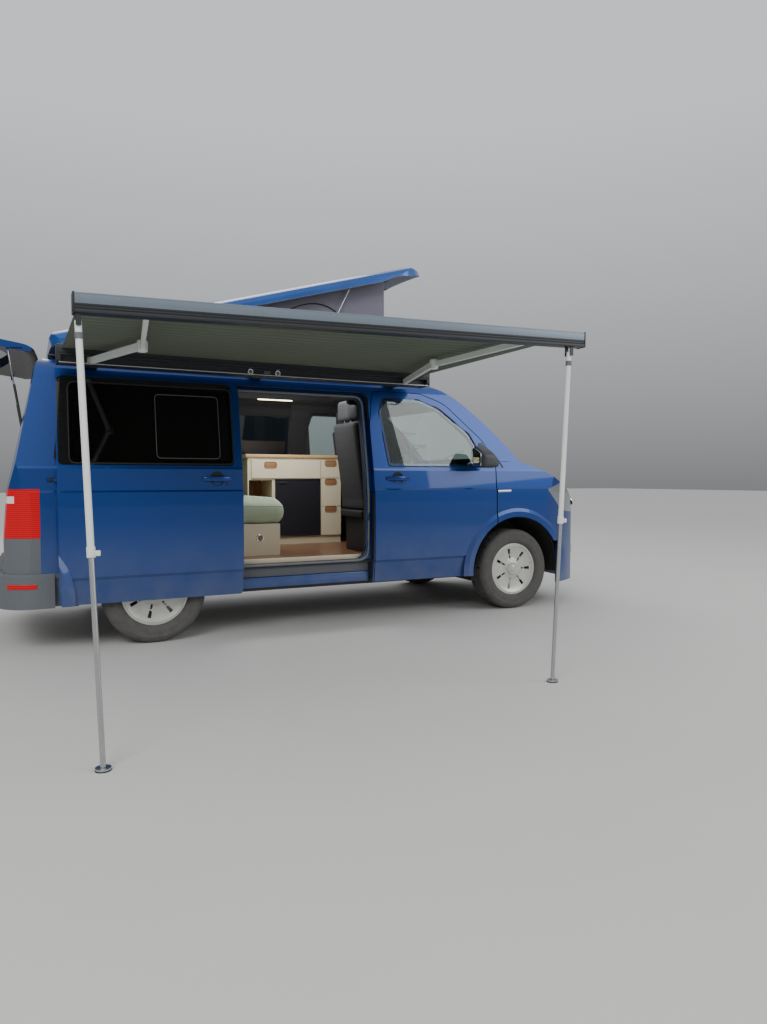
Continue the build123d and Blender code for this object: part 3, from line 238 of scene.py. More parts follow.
# High-pressure laminate on birch plywood, smooth and warm white
cream_laminate = mottled(finish_of("laminate_warm_white", "#CFC4A9", 0.42), ("#CABEA2", "#D6CBB2"), 240,
                         rough=(0.36, 0.48))
# Beech plywood core, oiled where a hand takes hold
plywood = mottled(finish_of("oiled_plywood_core", "#8A6040", 0.55), ("#7A5436", "#A0754F"), 12, 0.1,
                  stretch=(1, 1, 9))
# Needle-felt lining glued to the panels
felt = mottled(finish_of("needle_felt_anthracite", "#141517", 0.95, Sheen_Weight=0.05),
               ("#0F1012", "#1C1D20"), 3, 0.3)
# Vinyl-faced foam headliner of the lifting roof
roof_liner = mottled(finish_of("foamed_vinyl_liner", "#7D7F8A", 0.8), ("#757782", "#868994"), 9, 0.2)
# Woven polyester seat cloth, dark grey
seat_cloth = woven(finish_of("woven_polyester_seat_cloth", "#1A1B1F", 0.92, Sheen_Weight=0.05),
                   ("#0E0F11", "#1E1F24"), 5)
# Brushed cotton-blend cushion cover, sage green, drawn coarser than its 1 mm thread
sage_cloth = woven(finish_of("woven_cotton_blend_sage", "#8E9B84", 0.9, Sheen_Weight=0.3),
                   ("#92A086", "#BAC5AB"), 4)
# Coated polyester tent canvas, plain weave, charcoal
canvas = woven(finish_of("coated_tent_canvas", "#53525C", 0.85), ("#62616E", "#868493"), 4, 0.3)
# Powder-coated aluminium extrusion of the awning's case and lead rail: anthracite, finely textured, with its
# colours drawn darker than the coat itself as painted shade
anthracite = mottled(finish_of("powder_coat_anthracite_painted_shade", "#3B4048", 0.45), ("#202327", "#2D3136"), 4, 0.05,
                     rough=(0.38, 0.52))
# Upper face and crown of the lead rail: painted reflection of the sky on the same anthracite coat, light
# slate-grey and satin
rail_sky_reflection = mottled(finish_of("rail_painted_sky_reflection", "#818C99", 0.36, Metallic=0.35), ("#6C7681", "#7F8A96"), 6,
                     0.05, rough=(0.3, 0.42))
# Powder-coated white of the awning's arms and upper legs
white_coat = mottled(finish_of("powder_coat_white", "#D9DDD8", 0.4), ("#D2D7D1", "#E2E5E1"), 4, 0.05,
                     rough=(0.34, 0.46))
# Anodised aluminium: lower tubes of the legs, edge strip of the case, ends of the arms
anodised = mottled(finish_of("anodised_aluminium", "#B4B6B6", 0.32, Metallic=1.0), ("#A9ABAC", "#C0C2C2"), 6,
                   stretch=(0.05, 1, 1), rough=(0.26, 0.4))
# Matt-lacquered steel fridge door
fridge_lacquer = mottled(finish_of("matt_lacquered_steel", "#1D1C22", 0.4), ("#1A191F", "#232229"), 60,
                         rough=(0.34, 0.46))
# Clouded black glass of screens and dials
screen_glass = mottled(finish_of("display_glass", "#0B0C0E", 0.08, Coat_Weight=1.0),
                       ("#0A0B0D", "#101215"), 80)
# Mirror glass: silvered, nearly perfect
mirror_glass = mottled(finish_of("silvered_mirror", "#E4E8EA", 0.02, Metallic=1.0),
                       ("#DFE3E6", "#E9EDEF"), 200)
# Opal diffuser of the strip light, lit
strip_light = mottled(finish_of("lit_opal_diffuser", "#FFF4DD", 0.5, Emission_Strength=7.0,
                                Emission_Color=srgb("#FFE9C0")), ("#FFF2D8", "#FFF7E6"), 30)
# Blank plate, painted aluminium
plate_white = mottled(finish_of("painted_plate_blank", "#D8D9D4", 0.4), ("#D2D3CE", "#DEDFDA"), 50)

# Striped acrylic awning cloth: grey-green, bands of thread colour that run along the rail
awning_cloth = finish_of("woven_acrylic_stripe", "#5C6355", 0.9)
cloth_space = pattern_space(awning_cloth)
broad = add(awning_cloth, "ShaderNodeTexWave", {"Vector": cloth_space, "Scale": 3.6, "Distortion": 0.0},
            bands_direction="Y")
narrow = add(awning_cloth, "ShaderNodeTexWave", {"Vector": cloth_space, "Scale": 13.0, "Distortion": 0.0},
             bands_direction="Y")
bands = add(awning_cloth, "ShaderNodeMath", {0: broad.outputs[1], 1: narrow.outputs[1]}, operation="MULTIPLY")
faded = add(awning_cloth, "ShaderNodeTexNoise", {"Vector": cloth_space, "Scale": 3.0, "Detail": 4})
tone = add(awning_cloth, "ShaderNodeMath", {0: bands.outputs[0], 1: faded.outputs[0], 2: 0.12},
           operation="MULTIPLY_ADD")
stripe = add(awning_cloth, "ShaderNodeMix", {0: tone.outputs[0], 6: srgb("#4A5145"), 7: srgb("#7C8672")},
             data_type="RGBA")
drive(awning_cloth, "Base Color", stripe.outputs[2])
ribs = add(awning_cloth, "ShaderNodeBump", {"Height": narrow.outputs[1], "Distance": 0.0004})
drive(awning_cloth, "Normal", ribs.outputs[0])

# Plank-pattern vinyl floor: walnut boards 150 mm wide with dark joints
plank_floor = finish_of("plank_vinyl_walnut", "#8A6243", 0.42, Coat_Weight=0.2)
plank_space = pattern_space(plank_floor)
planks = add(plank_floor, "ShaderNodeTexBrick",
             {"Vector": plank_space, "Color1": srgb("#7C573A"), "Color2": srgb("#8E6848"),
              "Mortar": srgb("#4A3424"), "Scale": 1.0, "Mortar Size": 0.0022, "Brick Width": 1.2,
              "Row Height": 0.15})
grain_space = pattern_space(plank_floor, (1.2, 22, 1))
growth = add(plank_floor, "ShaderNodeTexNoise", {"Vector": grain_space, "Scale": 6.0, "Detail": 8})
figure = add(plank_floor, "ShaderNodeMix", {0: growth.outputs[0], 6: srgb("#5E3F29"), 7: planks.outputs[0]},
             data_type="RGBA")
drive(plank_floor, "Base Color", figure.outputs[2])
joint_bump = add(plank_floor, "ShaderNodeBump", {"Height": growth.outputs[0], "Distance": 0.0003})
drive(plank_floor, "Normal", joint_bump.outputs[0])

# Oak-faced worktop, long grain
worktop_oak = mottled(finish_of("oiled_oak_veneer", "#B79468", 0.45), ("#A8845A", "#C6A67A"), 30, 0.1,
                      stretch=(0.12, 1, 1), detail=8)

# Ribs inside the rear lamp, and its clear band: between two heights, on the face that looks back
CLEAR_BAND_FOOT, CLEAR_BAND_TOP, CLEAR_BAND_FRONT = 0.968, 1.012, -1.745
lens_space = pattern_space(red_lens)
lens_ribs = add(red_lens, "ShaderNodeTexWave", {"Vector": lens_space, "Scale": 26.0}, bands_direction="Z")
lens_parts = add(red_lens, "ShaderNodeSeparateXYZ", {0: lens_space})
above = add(red_lens, "ShaderNodeMath", {0: lens_parts.outputs[2], 1: CLEAR_BAND_FOOT},
            operation="GREATER_THAN")
below = add(red_lens, "ShaderNodeMath", {0: lens_parts.outputs[2], 1: CLEAR_BAND_TOP}, operation="LESS_THAN")
behind = add(red_lens, "ShaderNodeMath", {0: lens_parts.outputs[0], 1: CLEAR_BAND_FRONT},
             operation="LESS_THAN")
band = add(red_lens, "ShaderNodeMath", {0: above.outputs[0], 1: below.outputs[0]}, operation="MULTIPLY")
clear_band = add(red_lens, "ShaderNodeMath", {0: band.outputs[0], 1: behind.outputs[0]},
                 operation="MULTIPLY")
ribbed = add(red_lens, "ShaderNodeMix", {0: lens_ribs.outputs[1], 6: srgb("#B8000E"), 7: srgb("#E40018")},
             data_type="RGBA")
lens_colour = add(red_lens, "ShaderNodeMix",
                  {0: clear_band.outputs[0], 6: ribbed.outputs[2], 7: srgb("#E8DCD8")}, data_type="RGBA")
drive(red_lens, "Base Color", lens_colour.outputs[2])

for glass, tint in ((privacy_glass, ("#232A2E", "#30383D")), (clear_glass, ("#CDE2DD", "#DCECE9"))):
    mottled(glass, tint, 300)

CORNERS = ("front_right", "front_left", "rear_right", "rear_left")
finished_nodes = (
    (body_paint, "bonnet front_wings front_bumper roof_panel side_panel_right side_panel_left"),
    (body_paint, "front_door_right front_door_left sliding_door tailgate"),
    (roof_laminate, "pop_roof"),
    (grained_black, "grille scuttle door_mirror_right door_mirror_left fuel_tank"),
    (grained_grey, "rear_bumper"),
    (red_lens, "tail_lamps"),
    (clear_glass, "windscreen front_door_window_right front_door_window_left"),
    (privacy_glass, "side_windows sliding_door_window tailgate_window"),
    (chassis_paint, "tailgate_strut_barrels underbody front_subframe rear_suspension"),
    (bright_steel, "tailgate_strut_rods roof_strut_rods"),
    (strut_silver, "roof_strut_barrels"),
    # Awning case and lead rail in anthracite darkened as painted shade
    (anthracite, "awning_case awning_lead_rail"),
    (white_coat, "awning_arms awning_leg_rear_upper awning_leg_front_upper"),
    (anodised, "awning_leg_rear_lower awning_leg_front_lower"),
    (cast_iron, "knuckle_right knuckle_left engine"),
    (exhaust_steel, "exhaust"),
    (dash_skin, "dashboard steering_wheel"),
    (cream_laminate, "furniture"),
    (fridge_lacquer, "fridge"),
    (plank_floor, "wood_floor"),
    (lamp_body, "headlamps"),
    (seat_cloth, "front_seats"),
    (sage_cloth, "cushions"),
    (canvas, "tent"),
    (awning_cloth, "awning_fabric"),
    (tyre_rubber, " ".join("tyre_" + corner for corner in CORNERS)),
    (cover_silver, " ".join("wheel_" + corner for corner in CORNERS)),
)
for finish, names in finished_nodes:
    for name in names.split():
        for material_slot in nodes[name].material_slots:
            material_slot.material = finish


# Ways of making pieces


def clear_selection():
    """Object mode with nothing selected"""
    if bpy.context.mode != "OBJECT":
        bpy.ops.object.mode_set(mode="OBJECT")
    bpy.ops.object.select_all(action="DESELECT")


def pick(piece):
    """Makes a piece the only selected one"""
    clear_selection()
    piece.select_set(True)
    bpy.context.view_layer.objects.active = piece


def settle(piece, name, finish, body):
    """Puts a finished piece's place in its mesh, then names and paints it and hangs it on its body"""
    piece.data.transform(piece.matrix_basis)
    piece.matrix_basis = Matrix.Identity(4)
    piece.name = name
    piece.data.name = name
    piece.data.materials.clear()
    piece.data.materials.append(finish)
    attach(piece, body)
    return piece


def new_mesh(name, points, edges, faces):
    """A mesh from its points, selected and active"""
    mesh = bpy.data.meshes.new(name)
    mesh.from_pydata([tuple(p) for p in points], edges, faces)
    piece = bpy.data.objects.new(name, mesh)
    bpy.context.scene.collection.objects.link(piece)
    pick(piece)
    return piece


def outward(piece):
    """Merges doubles and turns every face of a closed shape outwards"""
    pick(piece)
    bpy.ops.object.mode_set(mode="EDIT")
    bpy.ops.mesh.select_all(action="SELECT")
    bpy.ops.mesh.remove_doubles(threshold=0.00002)
    bpy.ops.mesh.normals_make_consistent(inside=False)
    bpy.ops.object.mode_set(mode="OBJECT")


def smooth(piece, degrees=35):
    """Smooth shading that keeps edges sharper than an angle"""
    pick(piece)
    bpy.ops.object.shade_smooth_by_angle(angle=math.radians(degrees))


def eased_block(low, high, edge=0.004, segments=2, cuts=0):
    """A block between two corners with rounded edges"""
    clear_selection()
    low, high = Vector(low), Vector(high)
    bpy.ops.mesh.primitive_cube_add(size=1, location=(low + high) / 2, scale=high - low)
    block = bpy.context.object
    bpy.ops.object.transform_apply(location=False, rotation=False, scale=True)
    bpy.ops.object.mode_set(mode="EDIT")
    bpy.ops.mesh.select_all(action="SELECT")
    bpy.ops.mesh.bevel(offset=edge, segments=segments, affect="EDGES")
    if cuts:
        bpy.ops.mesh.select_all(action="SELECT")
        bpy.ops.mesh.subdivide(number_cuts=cuts)
    bpy.ops.object.mode_set(mode="OBJECT")
    smooth(block)
    return block


def spun(profile, steps=48):
    """A closed solid turned about Z from a profile of radius and height, in millimetres"""
    points = [(r / 1000, 0, h / 1000) for r, h in profile]
    edges = [(i, i + 1) for i in range(len(points) - 1)]
    if profile[0][0] > 0 or profile[-1][0] > 0:
        edges.append((len(points) - 1, 0))
    piece = new_mesh("turned", points, edges, [])
    bpy.ops.object.mode_set(mode="EDIT")
    bpy.ops.mesh.select_all(action="SELECT")
    bpy.ops.mesh.spin(steps=steps, angle=2 * math.pi, center=(0, 0, 0), axis=(0, 0, 1))
    bpy.ops.object.mode_set(mode="OBJECT")
    outward(piece)
    smooth(piece)
    return piece


def aimed(piece, place, direction):
    """Stands a piece made along Z at a place, along a direction"""
    turn = Vector(direction).to_track_quat("Z", "Y").to_matrix().to_4x4()
    piece.data.transform(Matrix.Translation(place) @ turn)
    return piece


def bead(points, radius, closed=False, height=0.0):
    """A rubber bead, wire or band along points: round, or as high as a band that keeps upright"""
    line = bpy.data.curves.new("bead", "CURVE")
    line.dimensions = "3D"
    line.twist_mode = "Z_UP"
    spline = line.splines.new("POLY")
    spline.points.add(len(points) - 1)
    for spot, place in zip(spline.points, points):
        spot.co = (*place, 1)
    spline.use_cyclic_u = closed
    line.bevel_depth = radius
    line.bevel_resolution = 2
    line.extrude = max(0.0, height / 2 - radius)
    line.use_fill_caps = not closed
    piece = bpy.data.objects.new("bead", line)
    bpy.context.scene.collection.objects.link(piece)
    pick(piece)
    bpy.ops.object.convert(target="MESH")
    piece = bpy.context.object
    outward(piece)
    smooth(piece, 60)
    return piece


def block_piece(name, low, high, edge, segments, finish, body="van"):
    """A block with rounded edges as a finished piece"""
    return settle(eased_block(low, high, edge, segments), name, finish, body)


def bead_piece(name, points, radius, finish, slot, body="van", **form):
    """A bead, wire or band as a finished piece"""
    return settle(bead(points, radius, **form), name, finish, body)


def turned_piece(name, profile, steps, place, direction, finish, body="van"):
    """A turned shape as a finished piece, stood along a direction"""
    return settle(aimed(spun(profile, steps), place, direction), name, finish, body)


def rounded_line(rows, steps=5, spacing=70):
    """Corners of x, z and radius in millimetres as a closed line of points, with runs divided"""
    corners = []
    count = len(rows)
    for i in range(count):
        here, before, after = (Vector(rows[k % count][:2]) for k in (i, i - 1, i + 1))
        back, ahead = (before - here), (after - here)
        half = back.angle(ahead) / 2
        cut = min(rows[i][2] / math.tan(half), 0.48 * back.length, 0.48 * ahead.length)
        start, end = here + back.normalized() * cut, here + ahead.normalized() * cut
        for k in range(steps + 1):
            t = k / steps
            corners.append(start * (1 - t) ** 2 + here * 2 * t * (1 - t) + end * t * t)
    line = []
    for i, spot in enumerate(corners):
        run = corners[(i + 1) % len(corners)] - spot
        pieces = max(1, round(run.length / spacing))
        line += [spot + run * k / pieces for k in range(pieces)]
    return line


def touch(start, towards, *names):
    """Where a straight line first meets the named CAD nodes"""
    found = []
    for name in names:
        hit, place, normal, index = nodes[name].ray_cast(start, Vector(towards).normalized())
        if hit:
            found.append(((place - start).length, place))
    return min(found, key=lambda pair: pair[0])[1] if found else None


def on_side(side, line, lift, *names):
    """Points of x and z laid on the named nodes from one side, lifted a little off them"""
    laid = []
    for x, z in line:
        place = touch(at(x, side * 1500, z), (0, -side, 0), *names)
        if place:
            laid.append(place + Vector((0, side * lift, 0)))
    return laid


def half_width(z):
    """How far the outside of the body stands from its middle at a height, in millimetres"""
    table = ((300, 912), (468, 934), (488, 946), (800, 952), (1035, 950), (1047, 940), (1188, 930),
             (1204, 925), (1816, 814), (1846, 806), (1893, 746), (1919, 646), (1942, 330), (1950, 0))
    for (z0, y0), (z1, y1) in zip(table, table[1:]):
        if z <= z1:
            return y0 + (y1 - y0) * (z - z0) / (z1 - z0)
    return 0


def skin_of(name, node, body, finish, wanted, thickness=0.002):
    """A thin lining laid on the faces of a CAD node that wanted(centre, normal) picks, in millimetres"""
    source = nodes[node]
    piece = bpy.data.objects.new(name, source.data.copy())
    bpy.context.scene.collection.objects.link(piece)
    pick(piece)
    bpy.ops.object.mode_set(mode="EDIT")
    bpy.ops.mesh.select_all(action="SELECT")
    bpy.ops.mesh.remove_doubles(threshold=0.00002)
    bpy.ops.mesh.select_all(action="DESELECT")
    bpy.ops.object.mode_set(mode="OBJECT")
    for face in piece.data.polygons:
        centre = face.center
        x, y, z = ((centre.x - CENTRE_X) * 1000, (centre.y - CENTRE_Y) * 1000, centre.z * 1000)
        face.select = not wanted(x, y, z, face.normal)
    bpy.ops.object.mode_set(mode="EDIT")
    bpy.ops.mesh.delete(type="FACE")
    bpy.ops.object.mode_set(mode="OBJECT")
    wall = piece.modifiers.new("lining", "SOLIDIFY")
    wall.thickness = thickness
    wall.offset = 1.0
    bpy.ops.object.modifier_apply(modifier="lining")
    smooth(piece, 40)
    return settle(piece, name, finish, body)


# Wheels and tyres

TYRE_RADIUS, TREAD_HALF = 0.343, 0.072
TYRE_SECTORS = 144
AXLE_X, WHEEL_CENTRE = 1500, 343
GROOVES = ((-0.052, -0.044), (-0.026, -0.018), (0.018, 0.026), (0.044, 0.052))
# Cuts across the ribs: from and to which height, of how many sectors one, and which
RIB_CUTS = ((-0.08, -0.052, 4, 0), (0.052, 0.08, 4, 2), (-0.044, -0.026, 6, 1), (0.026, 0.044, 6, 4),
            (-0.018, 0.018, 8, 3))
# Sidewall rings from shoulder to bead: radius and half width in metres
SIDEWALL = ((0.339, 0.083), (0.331, 0.094), (0.318, 0.1015), (0.306, 0.1045), (0.302, 0.1062),
            (0.298, 0.1045), (0.270, 0.1066), (0.262, 0.1074), (0.258, 0.1062), (0.244, 0.1035),
            (0.232, 0.095), (0.2228, 0.084))


def rows_between(piece, low, high, every, part):
    """Selects tread faces between two heights, and of every few round the wheel one part"""
    for face in piece.data.polygons:
        centre = face.center
        turn = round(math.atan2(centre.y, centre.x) / (2 * math.pi) * TYRE_SECTORS - 0.5) % TYRE_SECTORS
        face.select = low < centre.z < high and turn % every == part and centre.xy.length > 0.3


def radial_tyre():
    """A tyre made along Z: grooved tread with cut shoulders, and sidewalls drawn in to the rim"""
    clear_selection()
    bpy.ops.mesh.primitive_cylinder_add(vertices=TYRE_SECTORS, radius=TYRE_RADIUS, depth=2 * TREAD_HALF,
                                        end_fill_type="NOTHING")
    tyre = bpy.context.object
    bpy.ops.object.mode_set(mode="EDIT")
    for groove in GROOVES:
        for height in groove:
            bpy.ops.mesh.select_all(action="SELECT")
            bpy.ops.mesh.bisect(plane_co=(0, 0, height), plane_no=(0, 0, 1))
    bpy.ops.object.mode_set(mode="OBJECT")
    for low, high, every, part in (*[(*groove, 1, 0) for groove in GROOVES], *RIB_CUTS):
        bpy.ops.object.mode_set(mode="EDIT")
        bpy.ops.mesh.select_all(action="DESELECT")
        bpy.ops.object.mode_set(mode="OBJECT")
        rows_between(tyre, low, high, every, part)
        bpy.ops.object.mode_set(mode="EDIT")
        bpy.ops.mesh.select_mode(type="FACE")
        bpy.ops.mesh.extrude_region_move()
        bpy.ops.transform.resize(value=(0.98, 0.98, 1), center_override=(0, 0, 0))
        bpy.ops.object.mode_set(mode="OBJECT")
    for side in (1, -1):
        bpy.ops.object.mode_set(mode="OBJECT")
        for vertex in tyre.data.vertices:
            at_shoulder = abs(vertex.co.z - side * TREAD_HALF) < 1e-4
            vertex.select = at_shoulder and vertex.co.xy.length > TYRE_RADIUS - 1e-4
        for edge in tyre.data.edges:
            edge.select = all(tyre.data.vertices[v].select for v in edge.vertices)
        radius, height = TYRE_RADIUS, TREAD_HALF
        bpy.ops.object.mode_set(mode="EDIT")
        bpy.ops.mesh.select_mode(type="EDGE")
        for next_radius, next_height in SIDEWALL:
            share = next_radius / radius
            bpy.ops.mesh.extrude_edges_move()
            bpy.ops.transform.translate(value=(0, 0, side * (next_height - height)))
            bpy.ops.transform.resize(value=(share, share, 1), center_override=(0, 0, 0))
            radius, height = next_radius, next_height
    bpy.ops.mesh.extrude_edges_move()
    bpy.ops.transform.translate(value=(0, 0, 2 * height))
    bpy.ops.object.mode_set(mode="OBJECT")
    outward(tyre)
    smooth(tyre, 30)
    return tyre


def copy_of(piece):
    """Another piece of the same shape with its own mesh"""
    other = bpy.data.objects.new(piece.name, piece.data.copy())
    bpy.context.scene.collection.objects.link(other)
    return other


# What each wheel carries: name, form, how far out it sits, how far ahead of and above the centre,
# finish and slot
DISC = [(66, -7), (124, -7), (124, -2), (100, -2), (100, 2), (124, 2), (124, 7), (66, 7)]
wheel_pieces = (
    ("tyre_tread_", radial_tyre(), 814, (0, 0), tyre_rubber, "tyre"),
    ("brake_disc_", spun(DISC, 64), 752, (0, 0), brake_iron, "cast"),
    ("hub_cap_", spun([(0, 0), (0, 4.5), (24, 4.2), (29, 2.4), (30.5, 0)], 48), 892, (0, 0), cover_silver,
     "silver"),
    ("cover_ring_", spun([(206, 0), (206, 2), (203.5, 3.2), (200.5, 2), (200, 0)], 96), 891, (0, 0),
     cover_silver, "silver"),
    ("valve_", spun([(0, 0), (0, 26), (2.6, 26), (3.2, 24), (3.2, 8), (5.5, 0)], 16), 868, (182, 40), rubber,
     "tyre"),
)
for corner in CORNERS:
    axle = AXLE_X if "front" in corner else -AXLE_X
    side = RIGHT if "right" in corner else LEFT
    out = Vector((0, side, 0))
    for kind, form, outwards, (ahead, above_centre), finish, slot in wheel_pieces:
        place = at(axle + ahead, side * outwards, WHEEL_CENTRE + above_centre)
        piece = aimed(copy_of(form), place, out)
        settle(piece, kind + corner, finish, "wheel_" + corner)
    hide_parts("tyre_" + corner)
for wheel_piece in wheel_pieces:
    bpy.data.objects.remove(wheel_piece[1])

# Linings inside the body


def inside_side(side):
    """Picks the inward faces of a side panel"""
    def wanted(x, y, z, normal):
        inward = abs(y) < half_width(z) - 12 and normal.y * side < 0.15
        return inward and (normal.x > -0.6 or x > -2000) and x < 1330 and z > 505
    return wanted


skin_of("lining_right", "side_panel_right", "van", felt, inside_side(RIGHT))
skin_of("lining_left", "side_panel_left", "van", felt, inside_side(LEFT))
skin_of("lining_door_right", "front_door_right", "door_right", dash_skin,
        lambda x, y, z, n: abs(y) < half_width(z) - 30 and n.y * RIGHT < -0.3)
skin_of("lining_door_left", "front_door_left", "door_left", dash_skin,
        lambda x, y, z, n: abs(y) < half_width(z) - 30 and n.y * LEFT < -0.3)
skin_of("lining_sliding_door", "sliding_door", "van", felt,
        lambda x, y, z, n: abs(y) < half_width(z) + 68 - 30 and n.y * RIGHT < -0.3)
skin_of("lining_ceiling", "roof_panel", "van", felt,
        lambda x, y, z, n: n.z < 0.3 and -2150 < x < 1350 and z < 1950 and n.y * math.copysign(1, y) < 0.3 and
        (abs(y) < half_width(z) - 14 or (abs(y) < 640 and -2060 < x < 460)))
skin_of("lining_tailgate", "tailgate", "tailgate", grained_black,
        lambda x, y, z, n: n.z < -0.5)
skin_of("lining_lifting_roof", "pop_roof", "lifting_roof", roof_liner,
        lambda x, y, z, n: n.z < -0.5)

# Rubber and trim on the sides

slider_opening = [(-1014, 490, 95), (-1014, 1768, 75), (100, 1768, 75), (100, 490, 95)]
seal_line = rounded_line(slider_opening)
seal_points = []
for x, z in seal_line:
    grown_x = x + (9 if x > -457 else -9)
    seat = touch(at(grown_x, -1300, z), (0, 1, 0), "side_panel_right", "underbody")
    if seat:
        seal_points.append(seat + OUT_RIGHT * 0.005)
bead_piece("doorway_seal", seal_points, 0.009, grey_rubber, "trim", closed=True)

front_pane = [(278, 1222, 30), (225, 1640, 60), (262, 1768, 50), (590, 1766, 160), (775, 1702, 200),
              (1050, 1500, 90), (1118, 1380, 60), (1087, 1252, 40), (1040, 1222, 30)]
rear_pane = [(-2120, 1226, 50), (-2068, 1740, 50), (-1136, 1748, 50), (-1136, 1226, 40)]
middle_pane = [(-982, 1224, 40), (-982, 1752, 50), (76, 1752, 50), (76, 1224, 40)]
door_pane = [(x - 1046, z, r) for x, z, r in middle_pane]
panes = [
    ("front_door_right", RIGHT, front_pane, "door_right", ("front_door_right", "front_door_window_right")),
    ("front_door_left", LEFT, front_pane, "door_left", ("front_door_left", "front_door_window_left")),
    ("rear_right", RIGHT, rear_pane, "van", ("side_panel_right", "side_windows")),
    ("rear_left", LEFT, rear_pane, "van", ("side_panel_left", "side_windows")),
    ("middle_left", LEFT, middle_pane, "van", ("side_panel_left", "side_windows")),
    ("sliding_door", RIGHT, door_pane, "van", ("sliding_door", "sliding_door_window")),
]
for name, side, outline, body, carriers in panes:
    laid = on_side(side, rounded_line(outline), -0.0005, *carriers)
    bead_piece("window_seal_" + name, laid, 0.0045, rubber, "black_plastic", body, closed=True)

# The printed black border of the sliding door's bonded glass, out to the door's edge


def even_ring(rows, count):
    """A closed outline as a number of points spread evenly along it"""
    line = rounded_line(rows, 6, 12)
    ahead = line[1:] + line[:1]
    total = sum((b - a).length for a, b in zip(line, ahead))
    ring, gone, wanted = [], 0.0, 0.0
    for a, b in zip(line, ahead):
        run = (b - a).length
        while wanted < gone + run and len(ring) < count:
            ring.append(a.lerp(b, (wanted - gone) / run))
            wanted += total / count
        gone += run
    return ring


BORDER = 160
DOOR_TUMBLEHOME = 0.1813
border_outline = [(-2094, 1212, 30), (-2094, 1788, 40), (-968, 1788, 40), (-968, 1212, 30)]
outer_ring, inner_ring = [
    on_side(RIGHT, even_ring(rows, BORDER), 0.0008, "sliding_door", "sliding_door_window")
    for rows in (border_outline, door_pane)]
if len(outer_ring) == len(inner_ring) == BORDER:
    quads = [(i, (i + 1) % BORDER, BORDER + (i + 1) % BORDER, BORDER + i) for i in range(BORDER)]
    for place, rim in zip(inner_ring, outer_ring):
        place.y = rim.y + (place.z - rim.z) * DOOR_TUMBLEHOME
    border = new_mesh("border", outer_ring + inner_ring, [], quads)
    wall = border.modifiers.new("print", "SOLIDIFY")
    wall.thickness = 0.0012
    wall.offset = 0
    bpy.ops.object.modifier_apply(modifier="print")
    settle(border, "glass_border", screen_glass, "van")

# Sliding panes let into the middle windows, with their thin frames
vents = [("sliding_door", RIGHT, -1487, -1062, "sliding_door_window"),
         ("middle_left", LEFT, -930, -470, "side_windows")]
for name, side, rear_x, front_x, glass in vents:
    outline = [(rear_x, 1262, 30), (rear_x, 1694, 30), (front_x, 1694, 30), (front_x, 1262, 30)]
    laid = on_side(side, rounded_line(outline), 0.0008, glass)
    bead_piece("vent_frame_" + name, laid, 0.0024, grained_grey, "grey_plastic", closed=True)

# Rail cover in the groove behind the sliding door
rail_line = on_side(RIGHT, [(x, 1115) for x in range(-2150, -1075, 60)], 0.003, "side_panel_right")
if rail_line:
    bead_piece("slider_rail", rail_line, 0.004, grained_black, "black_plastic", height=0.022)

# Door handles: a round dish, black as painted shade of its deep recess, with a bar bowed over it
dish_profile = [(0, 0.4), (34, 0.8), (43, 3.0), (47.5, 4.2), (50, 3.0), (50.5, 0), (0, 0)]


def door_handle(name, x, z, side, body, panel):
    """A door's dish, black as painted shade, and pull bar, standing on its panel"""
    seat = touch(at(x, side * 1500, z), (0, -side, 0), panel)
    out = Vector((0, side, 0))
    # The dish is body-coloured on the van; the black plastic here paints the shade in its recess
    turned_piece(name + "_dish_painted_shade", dish_profile, 40, seat, out, grained_black, body)
    low, high = at(x - 104, 0, z - 16), at(x + 104, 0, z + 18)
    bar = eased_block((low.x, -0.010, low.z), (high.x, 0.010, high.z), 0.007, 3, 3)
    middle_x = (low.x + high.x) / 2
    for vertex in bar.data.vertices:
        vertex.co = bar.matrix_basis @ vertex.co
    bar.matrix_basis = Matrix.Identity(4)
    for vertex in bar.data.vertices:
        share = (vertex.co.x - middle_x) / 0.098
        thinner = 1 - 0.45 * abs(share) ** 3
        vertex.co.y = vertex.co.y * thinner + side * (0.030 - 0.022 * share * share)
        vertex.co.z = (vertex.co.z - z / 1000) * (1 - 0.25 * abs(share) ** 3) + z / 1000
    bar.data.transform(Matrix.Translation((0, seat.y, 0)))
    settle(bar, name + "_bar", body_paint, body)
    lock_place = seat + Vector((0.066, side * 0.0005, -0.034))
    turned_piece(name + "_lock", [(0, 0), (0, 2.6), (7, 2.6), (8, 1.6), (8, 0)], 24, lock_place, out,
                 grained_black, body)


door_handle("handle_front_right", 353, 1126, RIGHT, "door_right", "front_door_right")
door_handle("handle_front_left", 353, 1126, LEFT, "door_left", "front_door_left")
door_handle("handle_sliding_door", -1090, 1122, RIGHT, "van", "sliding_door")

# Plain bright strip on each wing, ahead of the door
SIDES = ((RIGHT, "right"), (LEFT, "left"))
for side, name in SIDES:
    strip_line = [(x, 1018 + (x - 1300) * 0.02) for x in range(1296, 1430, 12)]
    strip = on_side(side, strip_line, 0.002, "front_wings")
    if len(strip) > 2:
        bead_piece("wing_strip_" + name, strip, 0.004, chrome, "silver", height=0.019)

